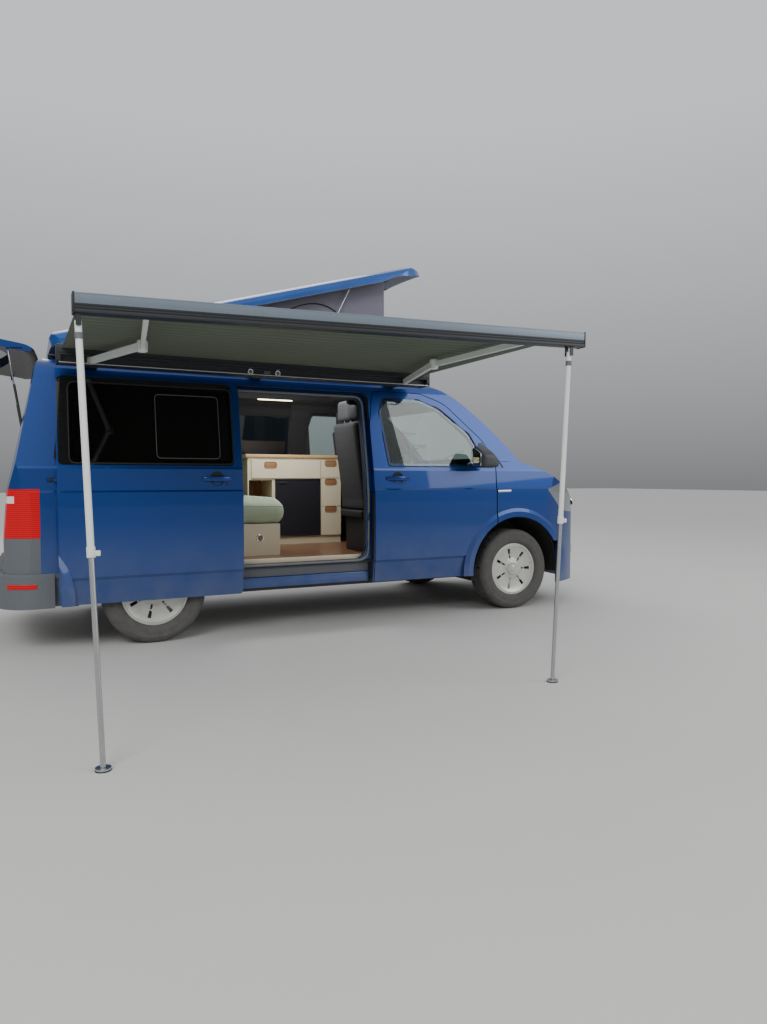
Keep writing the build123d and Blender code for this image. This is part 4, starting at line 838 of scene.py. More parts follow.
# Mirrors: tapered housing, glass and foot, the black corner behind, and the foot of the pillar ahead
housing_box = (at(990, 1016, 1216), at(1164, 1164, 1394))
mirror_box = (at(986, 1030, 1230), at(991, 1150, 1380))
for side, name in SIDES:
    for part, (low, high), edge, finish, slot in (
            ("mirror_housing_", housing_box, 0.034, mirror_plastic, "black_plastic"),
            ("mirror_glass_", mirror_box, 0.002, mirror_glass, "silver")):
        shell = eased_block(low, high, edge, 4, 2)
        shell.data.transform(shell.matrix_basis)
        shell.matrix_basis = Matrix.Identity(4)
        for vertex in shell.data.vertices:
            outer = (vertex.co.y - CENTRE_Y - 1.016) / 0.148
            upper = (vertex.co.z - 1.216) / 0.178
            vertex.co.z -= 0.07 * outer ** 1.6 * upper
            if finish is mirror_plastic:
                ahead = (vertex.co.x - CENTRE_X - 0.990) / 0.174
                vertex.co.x += 0.012 * outer - 0.062 * ahead * max(0.0, upper) ** 1.5
            if side == RIGHT:
                vertex.co.y = 2 * CENTRE_Y - vertex.co.y
        outward(shell)
        settle(shell, part + name, finish, "door_" + name)
        if finish is mirror_plastic:
            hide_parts("door_mirror_" + name)
    foot = [at(1188, side * 938, 1262), at(1160, side * 980, 1262), at(1130, side * 1040, 1262)]
    bead_piece("mirror_foot_" + name, foot, 0.02, grained_black, "black_plastic", "door_" + name,
               height=0.056)
    sail_corners = [(1112, 1216, 4), (1267, 1216, 3), (1267, 1346, 6), (1206, 1424, 14), (1138, 1424, 10)]
    pillar_corners = [(1285, 1216, 3), (1374, 1216, 8), (1306, 1312, 10), (1285, 1330, 3)]
    for part, corners, body, carriers in (
            ("mirror_sail_", sail_corners, "door_" + name, ("front_door_" + name,)),
            ("pillar_foot_", pillar_corners, "van", ("front_wings", "side_panel_" + name))):
        laid = on_side(side, rounded_line(corners, 3, 30), 0.001, *carriers)
        if len(laid) < 6:
            continue
        sail = new_mesh("sail", laid, [], [list(range(len(laid)))])
        bpy.ops.object.mode_set(mode="EDIT")
        bpy.ops.mesh.select_all(action="SELECT")
        bpy.ops.mesh.extrude_region_move(TRANSFORM_OT_translate={"value": (0, side * 0.004, 0)})
        bpy.ops.object.mode_set(mode="OBJECT")
        outward(sail)
        settle(sail, part + name, mirror_plastic, body)

# Step in the doorway: ribbed grey tread cover, painted sill and a pale edge strip on the floor
step_seat = touch(at(-450, -1300, 440), (0, 1, 0), "side_panel_right", "underbody")
step_y = (step_seat.y - CENTRE_Y) * 1000
block_piece("step_cover", at(-1000, step_y - 9, 402), at(122, step_y - 1, 492), 0.004, 2, grained_grey)
block_piece("door_sill", at(-1014, step_y - 22, 322), at(124, step_y - 1, 400), 0.006, 3, body_paint)
for z in range(414, 482, 11):
    rib = [at(x, step_y - 9.5, z) for x in (-985, -700, -450, -200, 106)]
    bead_piece(f"step_rib_{z}", rib, 0.0022, grained_grey, "grey_plastic")
block_piece("threshold_strip", at(-1000, step_y, 499), at(86, step_y + 42, 531), 0.004, 2, cream_laminate)

# Kitchen, bench and floor

KITCHEN_FACE = 404
for name, x, z in (("long_drawer", -270, 1250), ("top_drawer", 323, 1270), ("middle_drawer", 323, 1094),
                   ("low_drawer", 323, 836)):
    ring = rounded_line([(x - 57, z - 26, 20), (x - 57, z + 26, 20), (x + 57, z + 26, 20),
                         (x + 57, z - 26, 20)], 5, 30)
    bead_piece("grip_ring_" + name, [at(px, KITCHEN_FACE - 1.5, pz) for px, pz in ring], 0.0045, plywood,
               "floor_wood", closed=True)
    block_piece("grip_" + name, at(x - 55, KITCHEN_FACE - 1.6, z - 24), at(x + 55, KITCHEN_FACE + 2, z + 24),
                0.0012, 2, plywood)
block_piece("fridge_grip", at(-190, 398, 1078), at(-120, 411, 1094), 0.003, 3, grained_black)
for name, foot_z, top_z in (("top", 1112, 1120), ("foot", 589, 599)):
    block_piece("fridge_vent_" + name, at(-221, KITCHEN_FACE, foot_z), at(219, 411, top_z), 0.002, 2,
                grained_black)
for name, low, high, edge, finish in (
        ("worktop_face", at(-500, 402, 1344), at(445, 797, 1346.5), 0.0008, worktop_oak),
        ("worktop_edge", at(-500, 399, 1319), at(445, 402.2, 1346), 0.001, worktop_oak),
        ("niche_back", at(-469, 772, 601), at(-253, 779.5, 1109), 0.001, plywood),
        ("niche_slat_392", at(-395, 764, 601), at(-389, 772, 1109), 0.001, plywood),
        ("niche_slat_322", at(-325, 764, 601), at(-319, 772, 1109), 0.001, plywood)):
    block_piece(name, low, high, edge, 2, finish)
knob_place = at(-626, -450, 653)
turned_piece("bench_knob_ring", [(19, 0), (19, 3), (22, 5), (27, 4.5), (29.5, 1.5), (29.5, 0)], 48,
             knob_place, OUT_RIGHT, chrome)
turned_piece("bench_knob", [(0, 0), (0, 3.2), (6, 3.2), (8, 1.6), (19, 1.2), (19, 0)], 40, knob_place,
             OUT_RIGHT, plywood)
block_piece("bench_plinth", at(-1020, -446, 516), at(-480, -440, 540), 0.0015, 2, plywood)
block_piece("strip_light", at(-325, 596, 1862), at(8, 612, 1869), 0.002, 3, strip_light)

# Cushions and seats

CUSHION_VOXEL = 0.012
SWELL_FRAMES = 16


def cushion(name, low, high, edge, lift, tilt=0.0):
    """A foam cushion in its cover: a bevelled block, swollen by a cloth simulation, then smoothed"""
    start = eased_block(low + Vector((lift, lift, 0.002)), high - Vector((lift, lift, lift)), edge, 5)
    for vertex in start.data.vertices:
        raised_share = max(0.0, vertex.co.z / (high.z - low.z) * 2)
        vertex.co.z -= tilt * raised_share * vertex.co.x / (high.x - low.x)
    pick(start)
    remesh = start.modifiers.new("even", "REMESH")
    remesh.mode = "VOXEL"
    remesh.voxel_size = CUSHION_VOXEL
    bpy.ops.object.modifier_apply(modifier="even")
    before = [v.co.copy() for v in start.data.vertices]
    cloth = start.modifiers.new("swell", "CLOTH")
    cloth.settings.use_pressure = True
    cloth.settings.uniform_pressure_force = 4
    cloth.settings.effector_weights.gravity = 0
    cloth.settings.quality = 4
    for step in range(1, SWELL_FRAMES + 1):
        bpy.context.scene.frame_set(step)
    held = start.evaluated_get(bpy.context.evaluated_depsgraph_get())
    after = [v.co.copy() for v in held.data.vertices]
    start.modifiers.remove(cloth)
    bpy.context.scene.frame_set(1)
    cap = lift * 1.25
    for vertex, a, b in zip(start.data.vertices, before, after):
        step = b - a
        vertex.co = a + step * min(1.0, cap / max(step.length, 1e-6))
        vertex.co.z = max(vertex.co.z, low.z - start.location.z + 0.001)
    smoothing = start.modifiers.new("even_out", "SMOOTH")
    smoothing.iterations = 6
    bpy.ops.object.modifier_apply(modifier="even_out")
    fine = start.modifiers.new("fine", "SUBSURF")
    fine.levels = fine.render_levels = 1
    bpy.ops.object.modifier_apply(modifier="fine")
    pick(start)
    bpy.ops.object.shade_smooth()
    settle(start, name, sage_cloth, "van")
    return start


def welt(name, around, corners, height):
    """The welt sewn round a cushion's edge, laid on its surface"""
    x0, x1, y0, y1 = corners
    line = []
    for x, y in rounded_line([(x0, y0, 60), (x0, y1, 60), (x1, y1, 60), (x1, y0, 60)], 5, 50):
        hit, place, normal, index = around.closest_point_on_mesh(at(x, y, height))
        line.append(place)
    bead_piece(name, line, 0.0035, sage_cloth, "sage", closed=True)


seat_pad = cushion("bench_seat_cushion", at(-1022, -480, 766), at(-370, 402, 982), 0.075, 0.02, 0.05)
cushion("bench_back_cushion", at(-1120, -466, 908), at(-1004, 400, 1420), 0.03, 0.014)
bed_pad = cushion("bed_cushion", at(-1955, -472, 766), at(-1128, 472, 882), 0.03, 0.014)
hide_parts("cushions")
welt("bench_seat_welt", seat_pad, (-1012, -382, -470, 394), 924)
welt("bench_seat_low_welt", seat_pad, (-1012, -382, -470, 394), 806)
welt("bed_welt", bed_pad, (-1950, -1133, -466, 466), 862)


def leaned(piece, foot_z, lean):
    """Leans an upright piece back above a height, by a share of its rise"""
    for vertex in piece.data.vertices:
        vertex.co.x += (vertex.co.z - foot_z) * lean


def crowned(piece, low, high, crown, bolster):
    """Swells the front or top of a pad between raised side bolsters"""
    middle, half = (low + high) / 2, (high - low) / 2
    for vertex in piece.data.vertices:
        u, v, w = ((vertex.co[i] - middle[i]) / half[i] for i in range(3))
        room = max(0.0, 1 - u * u) * max(0.0, 1 - w * w)
        if crown == "top":
            rise = bolster * (abs(v) ** 3) - 0.010 * (1 - abs(v))
            vertex.co.z += rise * max(0.0, w) * max(0.0, 1 - u * u * 0.6)
        else:
            vertex.co.x += bolster * (abs(v) ** 3) * max(0.0, u) * max(0.0, 1 - w * w * 0.5)
        vertex.co.y -= 0.006 * v * room


def seat_shape(low, high, crown, bolster, edge=0.035):
    """A moulded seat pad with bolsters, subdivided and smoothed"""
    pad = eased_block(low, high, edge, 3, 4)
    pad.data.transform(pad.matrix_basis)
    pad.matrix_basis = Matrix.Identity(4)
    crowned(pad, low, high, crown, bolster)
    pick(pad)
    fine = pad.modifiers.new("fine", "SUBSURF")
    fine.levels = fine.render_levels = 1
    bpy.ops.object.modifier_apply(modifier="fine")
    bpy.ops.object.shade_smooth()
    return pad


def front_seat(name, middle_y, ahead):
    """A front seat with its seams, on frame and plinth, between two armrests"""
    def here(x, y, z):
        return at(x + ahead, middle_y + y, z)

    base = seat_shape(here(182, -236, 862), here(656, 236, 984), "top", 0.016)
    back = seat_shape(here(192, -232, 878), here(292, 232, 1590), "front", 0.02)
    leaned(back, 0.878, -0.135)
    head = seat_shape(here(98, -128, 1604), here(182, 128, 1772), "front", 0.004, 0.03)
    for pad, part in ((base, "cushion"), (back, "back"), (head, "headrest")):
        settle(pad, f"seat_{name}_{part}", seat_cloth, "van")
    for offset in (-60, 60):
        post = [here(140, offset, z) for z in (1560, 1585, 1610)]
        bead_piece(f"seat_{name}_post_{offset + 60}", post, 0.006, bright_steel, "steel")
    block_piece(f"seat_{name}_frame", here(165, -218, 802), here(615, 218, 862), 0.012, 3, dash_skin)
    block_piece(f"seat_{name}_plinth", here(205, -188, 516), here(555, 188, 802), 0.014, 3, dash_skin)
    for side in (RIGHT, LEFT):
        rim = [here(200, side * 222, 840), here(420, side * 228, 846), here(640, side * 222, 838)]
        bead_piece(f"seat_{name}_trim_{side + 1}", rim, 0.010, dash_skin, "trim", height=0.05)
        block_piece(f"seat_{name}_arm_{side + 1}", here(230, side * 245 - 24, 1122),
                    here(520, side * 245 + 24, 1166), 0.018, 3, dash_skin)
        seam = [here(640, side * 150, 990), here(500, side * 152, 995), here(320, side * 152, 995)]
        laid = [base.closest_point_on_mesh(place)[1] for place in seam]
        bead_piece(f"seat_{name}_seam_{side + 1}", laid, 0.0022, seat_cloth, "seat_cloth")
    if name == "passenger":
        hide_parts("front_seats")


front_seat("passenger", -420, 0)
front_seat("driver", 420, 330)

# Dashboard

hood = seat_shape(at(1112, 240, 1120), at(1230, 560, 1196), "top", 0.0, 0.03)
settle(hood, "instrument_hood", dash_skin, "van")
block_piece("dash_screen", at(1092, -120, 1000), at(1100, 120, 1096), 0.004, 3, screen_glass)
block_piece("instrument_glass", at(1108, 262, 1126), at(1114, 538, 1180), 0.003, 2, screen_glass)
for y in (-760, -180, 180, 760):
    turned_piece(f"dash_vent_{y + 760}", [(12, 0), (14, 5), (33, 7), (38, 4), (39, 0)], 32, at(1099, y, 1032),
                 (-1, 0, 0.05), grained_black)
bead_piece("gear_lever", [at(1095, 90, 930), at(1020, 90, 960), at(985, 90, 1040)], 0.009, grained_black,
           "black_plastic")
turned_piece("steering_hub_pad", [(0, 0), (0, 26), (40, 24), (62, 16), (68, 4), (66, 0)], 40,
             at(1044, 400, 1162), (-0.822, 0, 0.5695), dash_skin, "steering_wheel")

# Tent of the lifting roof

tent_low, tent_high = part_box("tent")
TENT_FOOT = 1.9663
TENT_ROWS = 26
END_WALL_HALF = 0.55
ROOF_PIVOT = at(-2387, 0, 1950)
ROOF_ANGLE = math.radians(16.1)


def under_roof(x):
    """Height of the raised roof's underside over a place"""
    low = at(-2060, 0, 1971.4) - ROOF_PIVOT
    start_x = ROOF_PIVOT.x + low.x * math.cos(ROOF_ANGLE) - low.z * math.sin(ROOF_ANGLE)
    start_z = ROOF_PIVOT.z + low.x * math.sin(ROOF_ANGLE) + low.z * math.cos(ROOF_ANGLE)
    return start_z + (x - start_x) * math.tan(ROOF_ANGLE)


rear_x, front_x = (tent_low.x - CENTRE_X) * 1000 + 1, (tent_high.x - CENTRE_X) * 1000 - 1
right_y, left_y = (tent_low.y - CENTRE_Y) * 1000 + 1, (tent_high.y - CENTRE_Y) * 1000 - 1
tent_outline = rounded_line([(rear_x, right_y, 60), (rear_x, left_y, 60), (front_x, left_y, 60),
                             (front_x, right_y, 60)], 5, 36)
tent_middle = Vector(((tent_low.x + tent_high.x) / 2, (tent_low.y + tent_high.y) / 2, 0))
ring_count = len(tent_outline)
tent_points, tent_faces = [], []
for row in range(TENT_ROWS + 1):
    rise = row / TENT_ROWS
    for x, y in tent_outline:
        foot = at(x, y, 0)
        height = under_roof(foot.x) - 0.004 - TENT_FOOT
        # Slack between foot and roof: long diagonal pulls from the corners and small folds
        slack = 4 * rise * (1 - rise)
        pull = (0.5 + 0.5 * math.sin(foot.x * 7.0 + foot.y * 5.0 + rise * 3.4)) * 0.55
        fold = (0.5 + 0.5 * math.sin(foot.x * 19.0 - foot.y * 17.0 - rise * 6.0)) * 0.3
        inward = slack * min(1.0, height / 0.5) * 0.011 * (pull + fold)
        on_side_wall = abs(foot.y - tent_middle.y) >= END_WALL_HALF
        push = Vector((math.copysign(not on_side_wall, tent_middle.x - foot.x),
                       math.copysign(on_side_wall, tent_middle.y - foot.y), 0))
        tent_points.append(Vector((foot.x, foot.y, TENT_FOOT + height * rise)) + push * inward)
for row in range(TENT_ROWS):
    for k in range(ring_count):
        after = (k + 1) % ring_count
        a, b = row * ring_count + k, row * ring_count + after
        tent_faces.append((a, b, b + ring_count, a + ring_count))
tent = new_mesh("tent_cloth", tent_points, [], tent_faces)
bpy.ops.object.mode_set(mode="EDIT")
bpy.ops.mesh.select_all(action="SELECT")
bpy.ops.mesh.normals_make_consistent(inside=False)
bpy.ops.object.mode_set(mode="OBJECT")
bpy.ops.object.shade_smooth()
cloth_wall = tent.modifiers.new("cloth", "SOLIDIFY")
cloth_wall.thickness = 0.0015
cloth_wall.offset = -1
bpy.ops.object.modifier_apply(modifier="cloth")
settle(tent, "tent_cloth", canvas, "van")
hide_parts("tent")
tall = under_roof(tent_high.x) - TENT_FOOT

# Zips of the side openings, and the band sewn along the foot of each side
tent_trims = [tent]
for side, name in SIDES:
    wall_y = tent_low.y if side == RIGHT else tent_high.y
    arch = []
    for k in range(25):
        share = k / 24
        x = at(-700 + 830 * share, 0, 0).x
        rise = 0.10 + (under_roof(x) - TENT_FOOT - 0.19) * math.sin(math.pi * min(1, share * 1.02)) ** 0.4
        arch.append(Vector((x, wall_y + side * 0.001, TENT_FOOT + max(0.06, rise))))
    foot_line = []
    for k in range(13):
        x = tent_low.x + 0.1 + (tent_high.x - tent_low.x - 0.2) * k / 12
        foot_line.append(Vector((x, wall_y + side * 0.001, TENT_FOOT + 0.045)))
    tent_trims += [bead_piece("tent_zip_" + name, arch, 0.004, rubber, "tent_cloth"),
                   bead_piece("tent_foot_band_" + name, foot_line, 0.003, canvas, "tent_cloth", height=0.05)]
for trim in tent_trims:
    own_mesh(trim)

# Awning

RAIL_SLOPE = math.tan(math.radians(1.55))
RAIL_REAR, RAIL_FRONT, RAIL_Y = -2090, 550, -2800


def rail_height(x):
    """Underside of the lead rail, in millimetres"""
    return 1788 + (x - RAIL_REAR) * RAIL_SLOPE


clear_selection()
bpy.ops.mesh.primitive_grid_add(x_subdivisions=48, y_subdivisions=48, size=2)
fabric = bpy.context.object
for vertex in fabric.data.vertices:
    u, v = (vertex.co.x + 1) / 2, (vertex.co.y + 1) / 2
    x = -2060 + 2580 * u
    y = -2769.7 + 1689.4 * v
    edge_z = rail_height(x) + 73
    across = math.sin(math.pi * v)
    sag = 7 * math.sin(math.pi * u) * across + 2.5 * math.sin(9 * math.pi * u) * across
    vertex.co = at(x, y, edge_z + (1932 - edge_z) * v - sag)
pick(fabric)
cloth_wall = fabric.modifiers.new("cloth", "SOLIDIFY")
cloth_wall.thickness = 0.0012
bpy.ops.object.modifier_apply(modifier="cloth")
bpy.ops.object.shade_smooth()
settle(fabric, "awning_cloth_sheet", awning_cloth, "van")
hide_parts("awning_fabric")

# Lead rail: end caps, drip lip, two grooves of the extrusion, and upper face and crown in a painted sky
# reflection
CAP_HALF = Vector((0.005, 0.034, 0.043))
for name, x, outwards in (("rear", RAIL_REAR, -1), ("front", RAIL_FRONT, 1)):
    middle = at(x, RAIL_Y, rail_height(x) + 41)
    cap = eased_block(middle - CAP_HALF, middle + CAP_HALF, 0.004, 3)
    cap.data.transform(Matrix.Translation((outwards * -0.002, 0, 0)))
    settle(cap, "rail_cap_" + name, grained_black, "van")
for name, height, y, radius, tall, finish in (
        ("lip", 8, -2831, 0.003, 0.014, anthracite),
        ("groove_low", 20, -2830.5, 0.0016, 0.004, rubber),
        ("groove_high", 31, -2830.5, 0.0016, 0.004, rubber),
        ("face", 58, -2830.2, 0.0014, 0.041, rail_sky_reflection),
        ("crown", 77, -2829, 0.003, 0.009, rail_sky_reflection)):
    run = [at(x, y, rail_height(x) + height) for x in (-2084, -1200, -300, 544)]
    bead_piece("rail_" + name, run, radius, finish, "anthracite", height=tall)

# The awning's case: end caps, seam, bright lower edge, and two small round lamps with a switch box
for name, x in (("rear", -2093), ("front", RAIL_FRONT)):
    block_piece("case_cap_" + name, at(x, -1082, 1843), at(x + 3, -908, 1961), 0.0014, 2, grained_black)
bead_piece("case_seam", [at(x, -1081, 1905) for x in (-2086, -1200, -300, 546)], 0.0022, rubber, "anthracite")
bead_piece("case_edge_strip", [at(x, -1079, 1846) for x in (-2080, -1400, -760, -100, 540)], 0.003, anodised,
           "silver", height=0.008)
for name, x in (("rear", -859), ("front", -661)):
    turned_piece("case_lamp_" + name, [(0, 0), (0, 6), (12, 6), (16, 9), (20, 7), (21, 0)], 32,
                 at(x, -1031, 1872), OUT_RIGHT, reflector)
block_piece("case_switch", at(-762, -1040, 1862), at(-716, -1031, 1882), 0.002, 2, grained_grey)

# Joints of the arms, and the cable along each inner half
ELBOW = [(0, 0), (0, 66), (20, 66), (28, 60), (29, 30), (28, 6), (20, 0)]
ROOT = [(0, 0), (0, 50), (16, 50), (21, 45), (21, 5), (16, 0)]
TIP = [(0, 0), (0, 40), (12, 40), (15, 36), (15, 4), (12, 0)]
for name, inner_x, elbow_x, outer_x in (("rear", -1900, -1690, -1800), ("front", 360, 150, 262)):
    lift = (inner_x - RAIL_REAR) * RAIL_SLOPE
    turned_piece("arm_elbow_" + name, ELBOW, 32, at(elbow_x, -1840, 1811 + lift / 2), UP, white_coat)
    turned_piece("arm_root_" + name, ROOT, 28, at(inner_x, -1040, 1845), UP, anodised)
    turned_piece("arm_tip_" + name, TIP, 28, at(outer_x, -2750, 1806 + lift), UP, anodised)
    cable = [at(inner_x, -1060, 1880), at((inner_x + elbow_x) / 2, -1450, 1884 + lift / 4),
             at(elbow_x, -1820, 1874 + lift / 2)]
    bead_piece("arm_cable_" + name, cable, 0.0025, bright_steel, "steel")

# Legs: collar and clamp where the tubes slide, the clamp's lever, and foot plates
CLAMP = [(14.3, 0), (14.3, 44), (16, 44), (17, 40), (17, 6), (16, 0)]
COLLAR = [(14.3, 0), (14.3, 26), (16.5, 26), (16.5, 0)]
FOOT_PAD = [(0, 0), (0, 13), (12, 13), (18, 9), (29, 6.5), (31.5, 2.5), (31.5, 0)]
for name, top_x, foot_x, foot_y in (("rear", -2070, -2027, -3060), ("front", 462, 320, -2860)):
    top = at(top_x, RAIL_Y, rail_height(top_x) - 38)
    foot = at(foot_x, foot_y, 12)
    along = (foot - top).normalized()
    upper = f"leg_{name}_upper"
    turned_piece("leg_clamp_" + name, CLAMP, 32, top + along * 0.905, along, white_coat, upper)
    grip = top + along * 0.925
    block_piece("leg_lever_" + name, grip + Vector((0.010, -0.012, -0.018)),
                grip + Vector((0.035, 0.006, 0.004)), 0.004, 2, white_coat, upper)
    turned_piece("leg_collar_" + name, COLLAR, 28, top + along * 0.04, along, grained_grey,
                 upper)
    pad = spun(FOOT_PAD, 40)
    pad.data.transform(Matrix.Translation((foot.x, foot.y, 0)))
    settle(pad, "leg_foot_" + name, grained_black, f"leg_{name}_lower")

# Roof: brackets of the awning case, rear hinges of the lifting roof and the seal round the opening

for x in (-1880, -760, 340):
    foot = touch(at(x, -770, 2200), (0, 0, -1), "roof_panel", "side_panel_right")
    if foot:
        block_piece(f"case_bracket_{abs(x)}", foot + Vector((-0.045, -0.03, 0.0)),
                    foot + Vector((0.045, 0.05, 0.014)), 0.004, 2, anthracite)
for side, name in SIDES:
    block_piece("roof_hinge_" + name, at(-2130, side * 560 - 30, 1952), at(-2030, side * 560 + 30, 1967),
                0.005, 2, grained_black)
rim_outline = [(-2030, -612, 60), (-2030, 612, 60), (430, 612, 60), (430, -612, 60)]
rim_seal = [at(x, y, 1964) for x, y in rounded_line(rim_outline, 5, 120)]
bead_piece("roof_rim_seal", rim_seal, 0.0045, rubber, "black_plastic", closed=True)

# Tail end

PLATE_HALF, PLATE_HALF_HEIGHT = 0.26, 0.056
for side, name in SIDES:
    seats = [touch(at(x, side * 1500, 441), (0, -side, 0), "rear_bumper") for x in range(-2395, -2225, 12)]
    strip = [seat + Vector((-0.001, side * 0.001, 0)) for seat in seats if seat]
    if len(strip) > 3:
        bead_piece("rear_reflector_" + name, strip, 0.003, red_lens, "lamp_red", height=0.03)
plate_seat = touch(at(-3200, 0, 430), (1, 0, 0), "rear_bumper")
block_piece("rear_plate_blank", plate_seat + Vector((-0.007, -PLATE_HALF, -PLATE_HALF_HEIGHT)),
            plate_seat + Vector((-0.001, PLATE_HALF, PLATE_HALF_HEIGHT)), 0.0025, 2, plate_white)
gate_seal = []
gate_outline = [(-772, 545, 50), (-772, 1060, 300), (-724, 1850, 80), (724, 1850, 80), (772, 1060, 300),
                (772, 545, 50)]
for y, z in rounded_line(gate_outline, 4, 70):
    seat = touch(at(-2700, y, z), (1, 0, 0), "side_panel_right", "side_panel_left", "roof_panel", "underbody")
    if seat and seat.x < at(-1900, 0, 0).x:
        gate_seal.append(seat + Vector((-0.004, 0, 0)))
if len(gate_seal) > 10:
    bead_piece("tailgate_seal", gate_seal, 0.006, rubber, "black_plastic", closed=True)
block_piece("load_sill_guard", at(-2470, -620, 519.5), at(-2300, 620, 524), 0.0015, 2, grained_grey)


def on_gate(x, y=0):
    """A place on the raised tailgate's outer side, which looks up as it stands open"""
    return touch(at(x, y, 3000), (0, 0, -1), "tailgate", "tailgate_window")


for name, x, reach, below_skin, proud, edge, segments, finish, slot in (
        ("high_brake_lamp", -2240, (0.012, 0.14), 0.002, 0.004, 0.002, 2, red_lens, "lamp_red"),
        ("tailgate_handle", -3080, (0.03, 0.28), 0.006, 0.002, 0.004, 3, grained_black, "black_plastic")):
    seat = on_gate(x)
    if seat:
        block_piece(name, seat - Vector((*reach, below_skin)), seat + Vector((*reach, proud)), edge, segments,
                    finish, "tailgate")
wiper_pivot = on_gate(-2790)
if wiper_pivot:
    turned_piece("rear_wiper_hub", [(0, 0), (0, 14), (12, 13), (17, 8), (18, 0)], 28, wiper_pivot, UP,
                 grained_black, "tailgate")
    sweep = [on_gate(-2790 + 14 * k, 46 * k) for k in range(9)]
    arm = [spot + UP * (0.016 if k < 5 else 0.012) for k, spot in enumerate(sweep[:7])]
    bead_piece("rear_wiper_arm", arm, 0.006, grained_black, "black_plastic", "tailgate")
    blade = [spot + UP * 0.007 for spot in sweep[2:]]
    bead_piece("rear_wiper_blade", blade, 0.004, rubber, "black_plastic", "tailgate")

# Front end


def facing(y, z, node):
    """Where the front of a node lies at a place across the van, and which way it faces"""
    seat, beside, above = [touch(at(3000, y + dy, z + dz), (-1, 0, 0), node)
                           for dy, dz in ((0, 0), (14, 0), (0, 14))]
    return seat, (beside - seat).cross(above - seat).normalized()


FOG_LAMP = [(0, -2), (0, 2.6), (30, 3.4), (36, 5), (41, 4), (45, 0), (45, -4)]
for side, name in SIDES:
    for order, (y, z, radius) in enumerate(((732, 924, 47), (622, 918, 41))):
        seat, out = facing(side * y, z, "headlamps")
        bowl = [(0, -2), (0, 2.4), (radius - 5, 3.0), (radius - 4, -2)]
        rim = [(radius - 5, -3), (radius - 5, 3.2), (radius - 2, 5.0), (radius + 1, 3.0), (radius + 2, -3)]
        bulb = [(0, 2), (0, 6.5), (7, 6), (11, 4), (12, 2)]
        for part, profile, steps, finish in (
                ("bowl", bowl, 40, bowl_dark), ("rim", rim, 48, chrome), ("bulb", bulb, 28, reflector)):
            turned_piece(f"headlamp_{part}_{name}_{order}", profile, steps, seat, out, finish)
    seat, out = facing(side * 700, 470, "front_bumper")
    turned_piece("fog_lamp_" + name, FOG_LAMP, 40, seat, out, reflector)
screen_line = []
for low_z in range(1300, 1780, 30):
    band = [v.co for v in nodes["windscreen"].data.vertices if low_z / 1000 <= v.co.z < (low_z + 30) / 1000]
    if band:
        screen_line.append(min(band, key=lambda spot: spot.y).copy())
for side, name in SIDES:
    line = [Vector((spot.x, spot.y if side == RIGHT else 2 * CENTRE_Y - spot.y, spot.z))
            for spot in screen_line]
    if len(line) > 4:
        bead_piece("screen_trim_" + name, line, 0.0065, rubber, "black_plastic")
plate_seat = touch(at(3000, 0, 600), (-1, 0, 0), "front_bumper")
block_piece("front_plate_blank", plate_seat + Vector((-0.008, -PLATE_HALF, -PLATE_HALF_HEIGHT)),
            plate_seat + Vector((0.002, PLATE_HALF, PLATE_HALF_HEIGHT)), 0.0025, 2, plate_white)
for name, y0, y1 in (("right", -120, -640), ("left", 520, 10)):
    seats = [touch(at(3000, y0 + (y1 - y0) * k / 8, 1318 + 10 * k), (-1, 0, 0), "windscreen", "scuttle")
             for k in range(9)]
    blade = [seat + Vector((0.006, 0, 0.004)) for seat in seats if seat]
    if len(blade) > 3:
        bead_piece("wiper_blade_" + name, blade, 0.005, rubber, "black_plastic")
        arm = [blade[0] + Vector((0.03, 0.02, -0.05)),
               blade[0].lerp(blade[-1], 0.3) + Vector((0.012, 0, 0.0)),
               blade[0].lerp(blade[-1], 0.55) + Vector((0.008, 0, 0.003))]
        bead_piece("wiper_arm_" + name, arm, 0.006, grained_black, "black_plastic")

# Floor, camera and light

clear_selection()
bpy.ops.mesh.primitive_plane_add(size=120, location=(0, 0, -0.0005))
ground = bpy.context.object
ground.name = "studio_floor"
floor_finish = mottled(finish_of("pale_studio_floor", "#C9C8C4", 0.8), ("#C6C5C1", "#CCCBC7"), 900)
ground.data.materials.append(floor_finish)


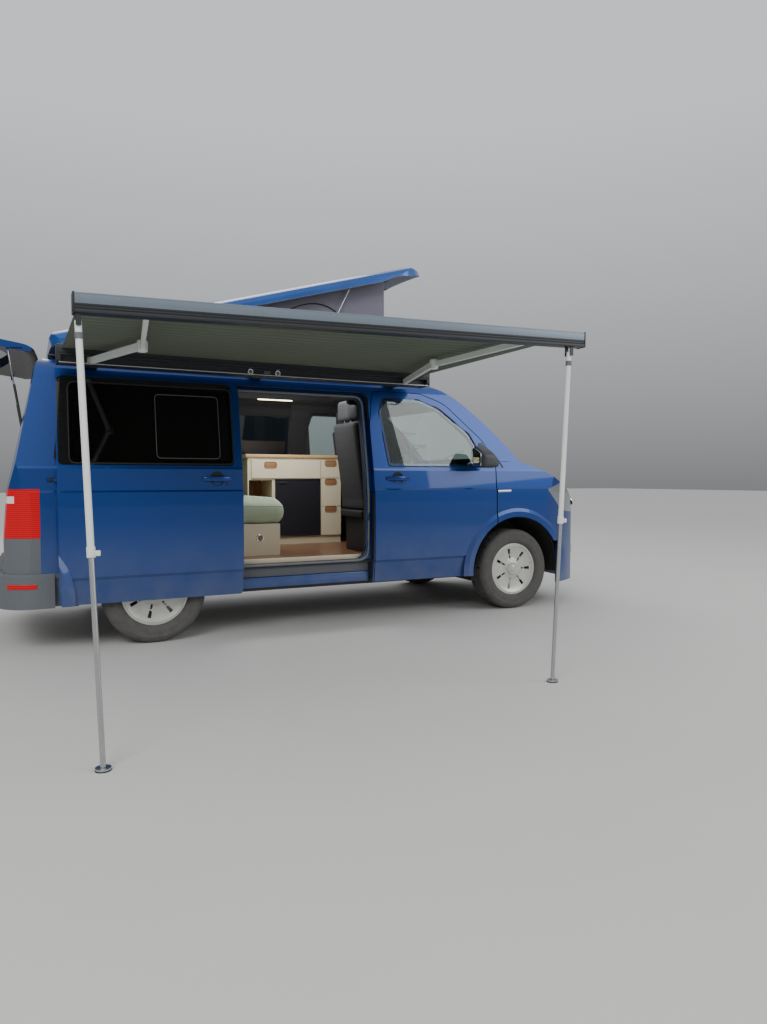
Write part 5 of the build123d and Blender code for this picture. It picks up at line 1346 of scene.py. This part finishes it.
def aim(thing, direction):
    """Turns a camera or light along a direction"""
    thing.rotation_mode = "QUATERNION"
    thing.rotation_quaternion = direction.to_track_quat("-Z", "Y")


camera_data = bpy.data.cameras.new("camera")
camera_data.lens = 25.32
camera_data.sensor_width = 36
camera_data.clip_end = 200
camera = bpy.data.objects.new("camera", camera_data)
bpy.context.scene.collection.objects.link(camera)
camera.location = at(-2263, -5986, 1123)
yaw, pitch = math.radians(26.22), math.radians(-2.64)
aim(camera, Vector((math.sin(yaw) * math.cos(pitch), math.cos(yaw) * math.cos(pitch), math.sin(pitch))))
bpy.context.scene.camera = camera

# Soft sky: grey below the horizon, brightening to a pale zenith
sky = bpy.data.worlds.new("soft_sky")
sky.use_nodes = True
bpy.context.scene.world = sky
direction = add(sky, "ShaderNodeTexCoord")
rise_of_view = add(sky, "ShaderNodeSeparateXYZ", {0: direction.outputs["Generated"]})
lifted = add(sky, "ShaderNodeMapRange", {0: rise_of_view.outputs[2], 1: -1.0})
ramp = add(sky, "ShaderNodeValToRGB", {0: lifted.outputs[0]})
for stop, position, shade in zip(ramp.color_ramp.elements, (0.46, 0.72), ("#6F7173", "#F4F7FA")):
    stop.position = position
    stop.color = srgb(shade)
background = sky.node_tree.nodes["Background"]
background.inputs[1].default_value = 0.85
sky.node_tree.links.new(ramp.outputs[0], background.inputs[0])

# Area lights: place, size in metres, power in watts and what each is aimed at
for name, place, size, power, target in (
        ("key", (-6.0, -8.0, 7.5), 5.0, 620, (0, 0, 1.0)),
        ("fill", (7.5, -6.5, 4.5), 5.0, 260, (0.5, 0, 1.0)),
        ("back", (1.0, 9.0, 6.5), 6.0, 200, (0, 0, 1.2)),
        ("inside", (0.35, 0.75, 1.88), 0.9, 20, (0.45, 1.5, 0.5))):
    lamp_data = bpy.data.lights.new(name, "AREA")
    lamp_data.size = size
    lamp_data.energy = power
    lamp_object = bpy.data.objects.new(name, lamp_data)
    bpy.context.scene.collection.objects.link(lamp_object)
    lamp_object.location = place
    aim(lamp_object, Vector(target) - Vector(place))

clear_selection()
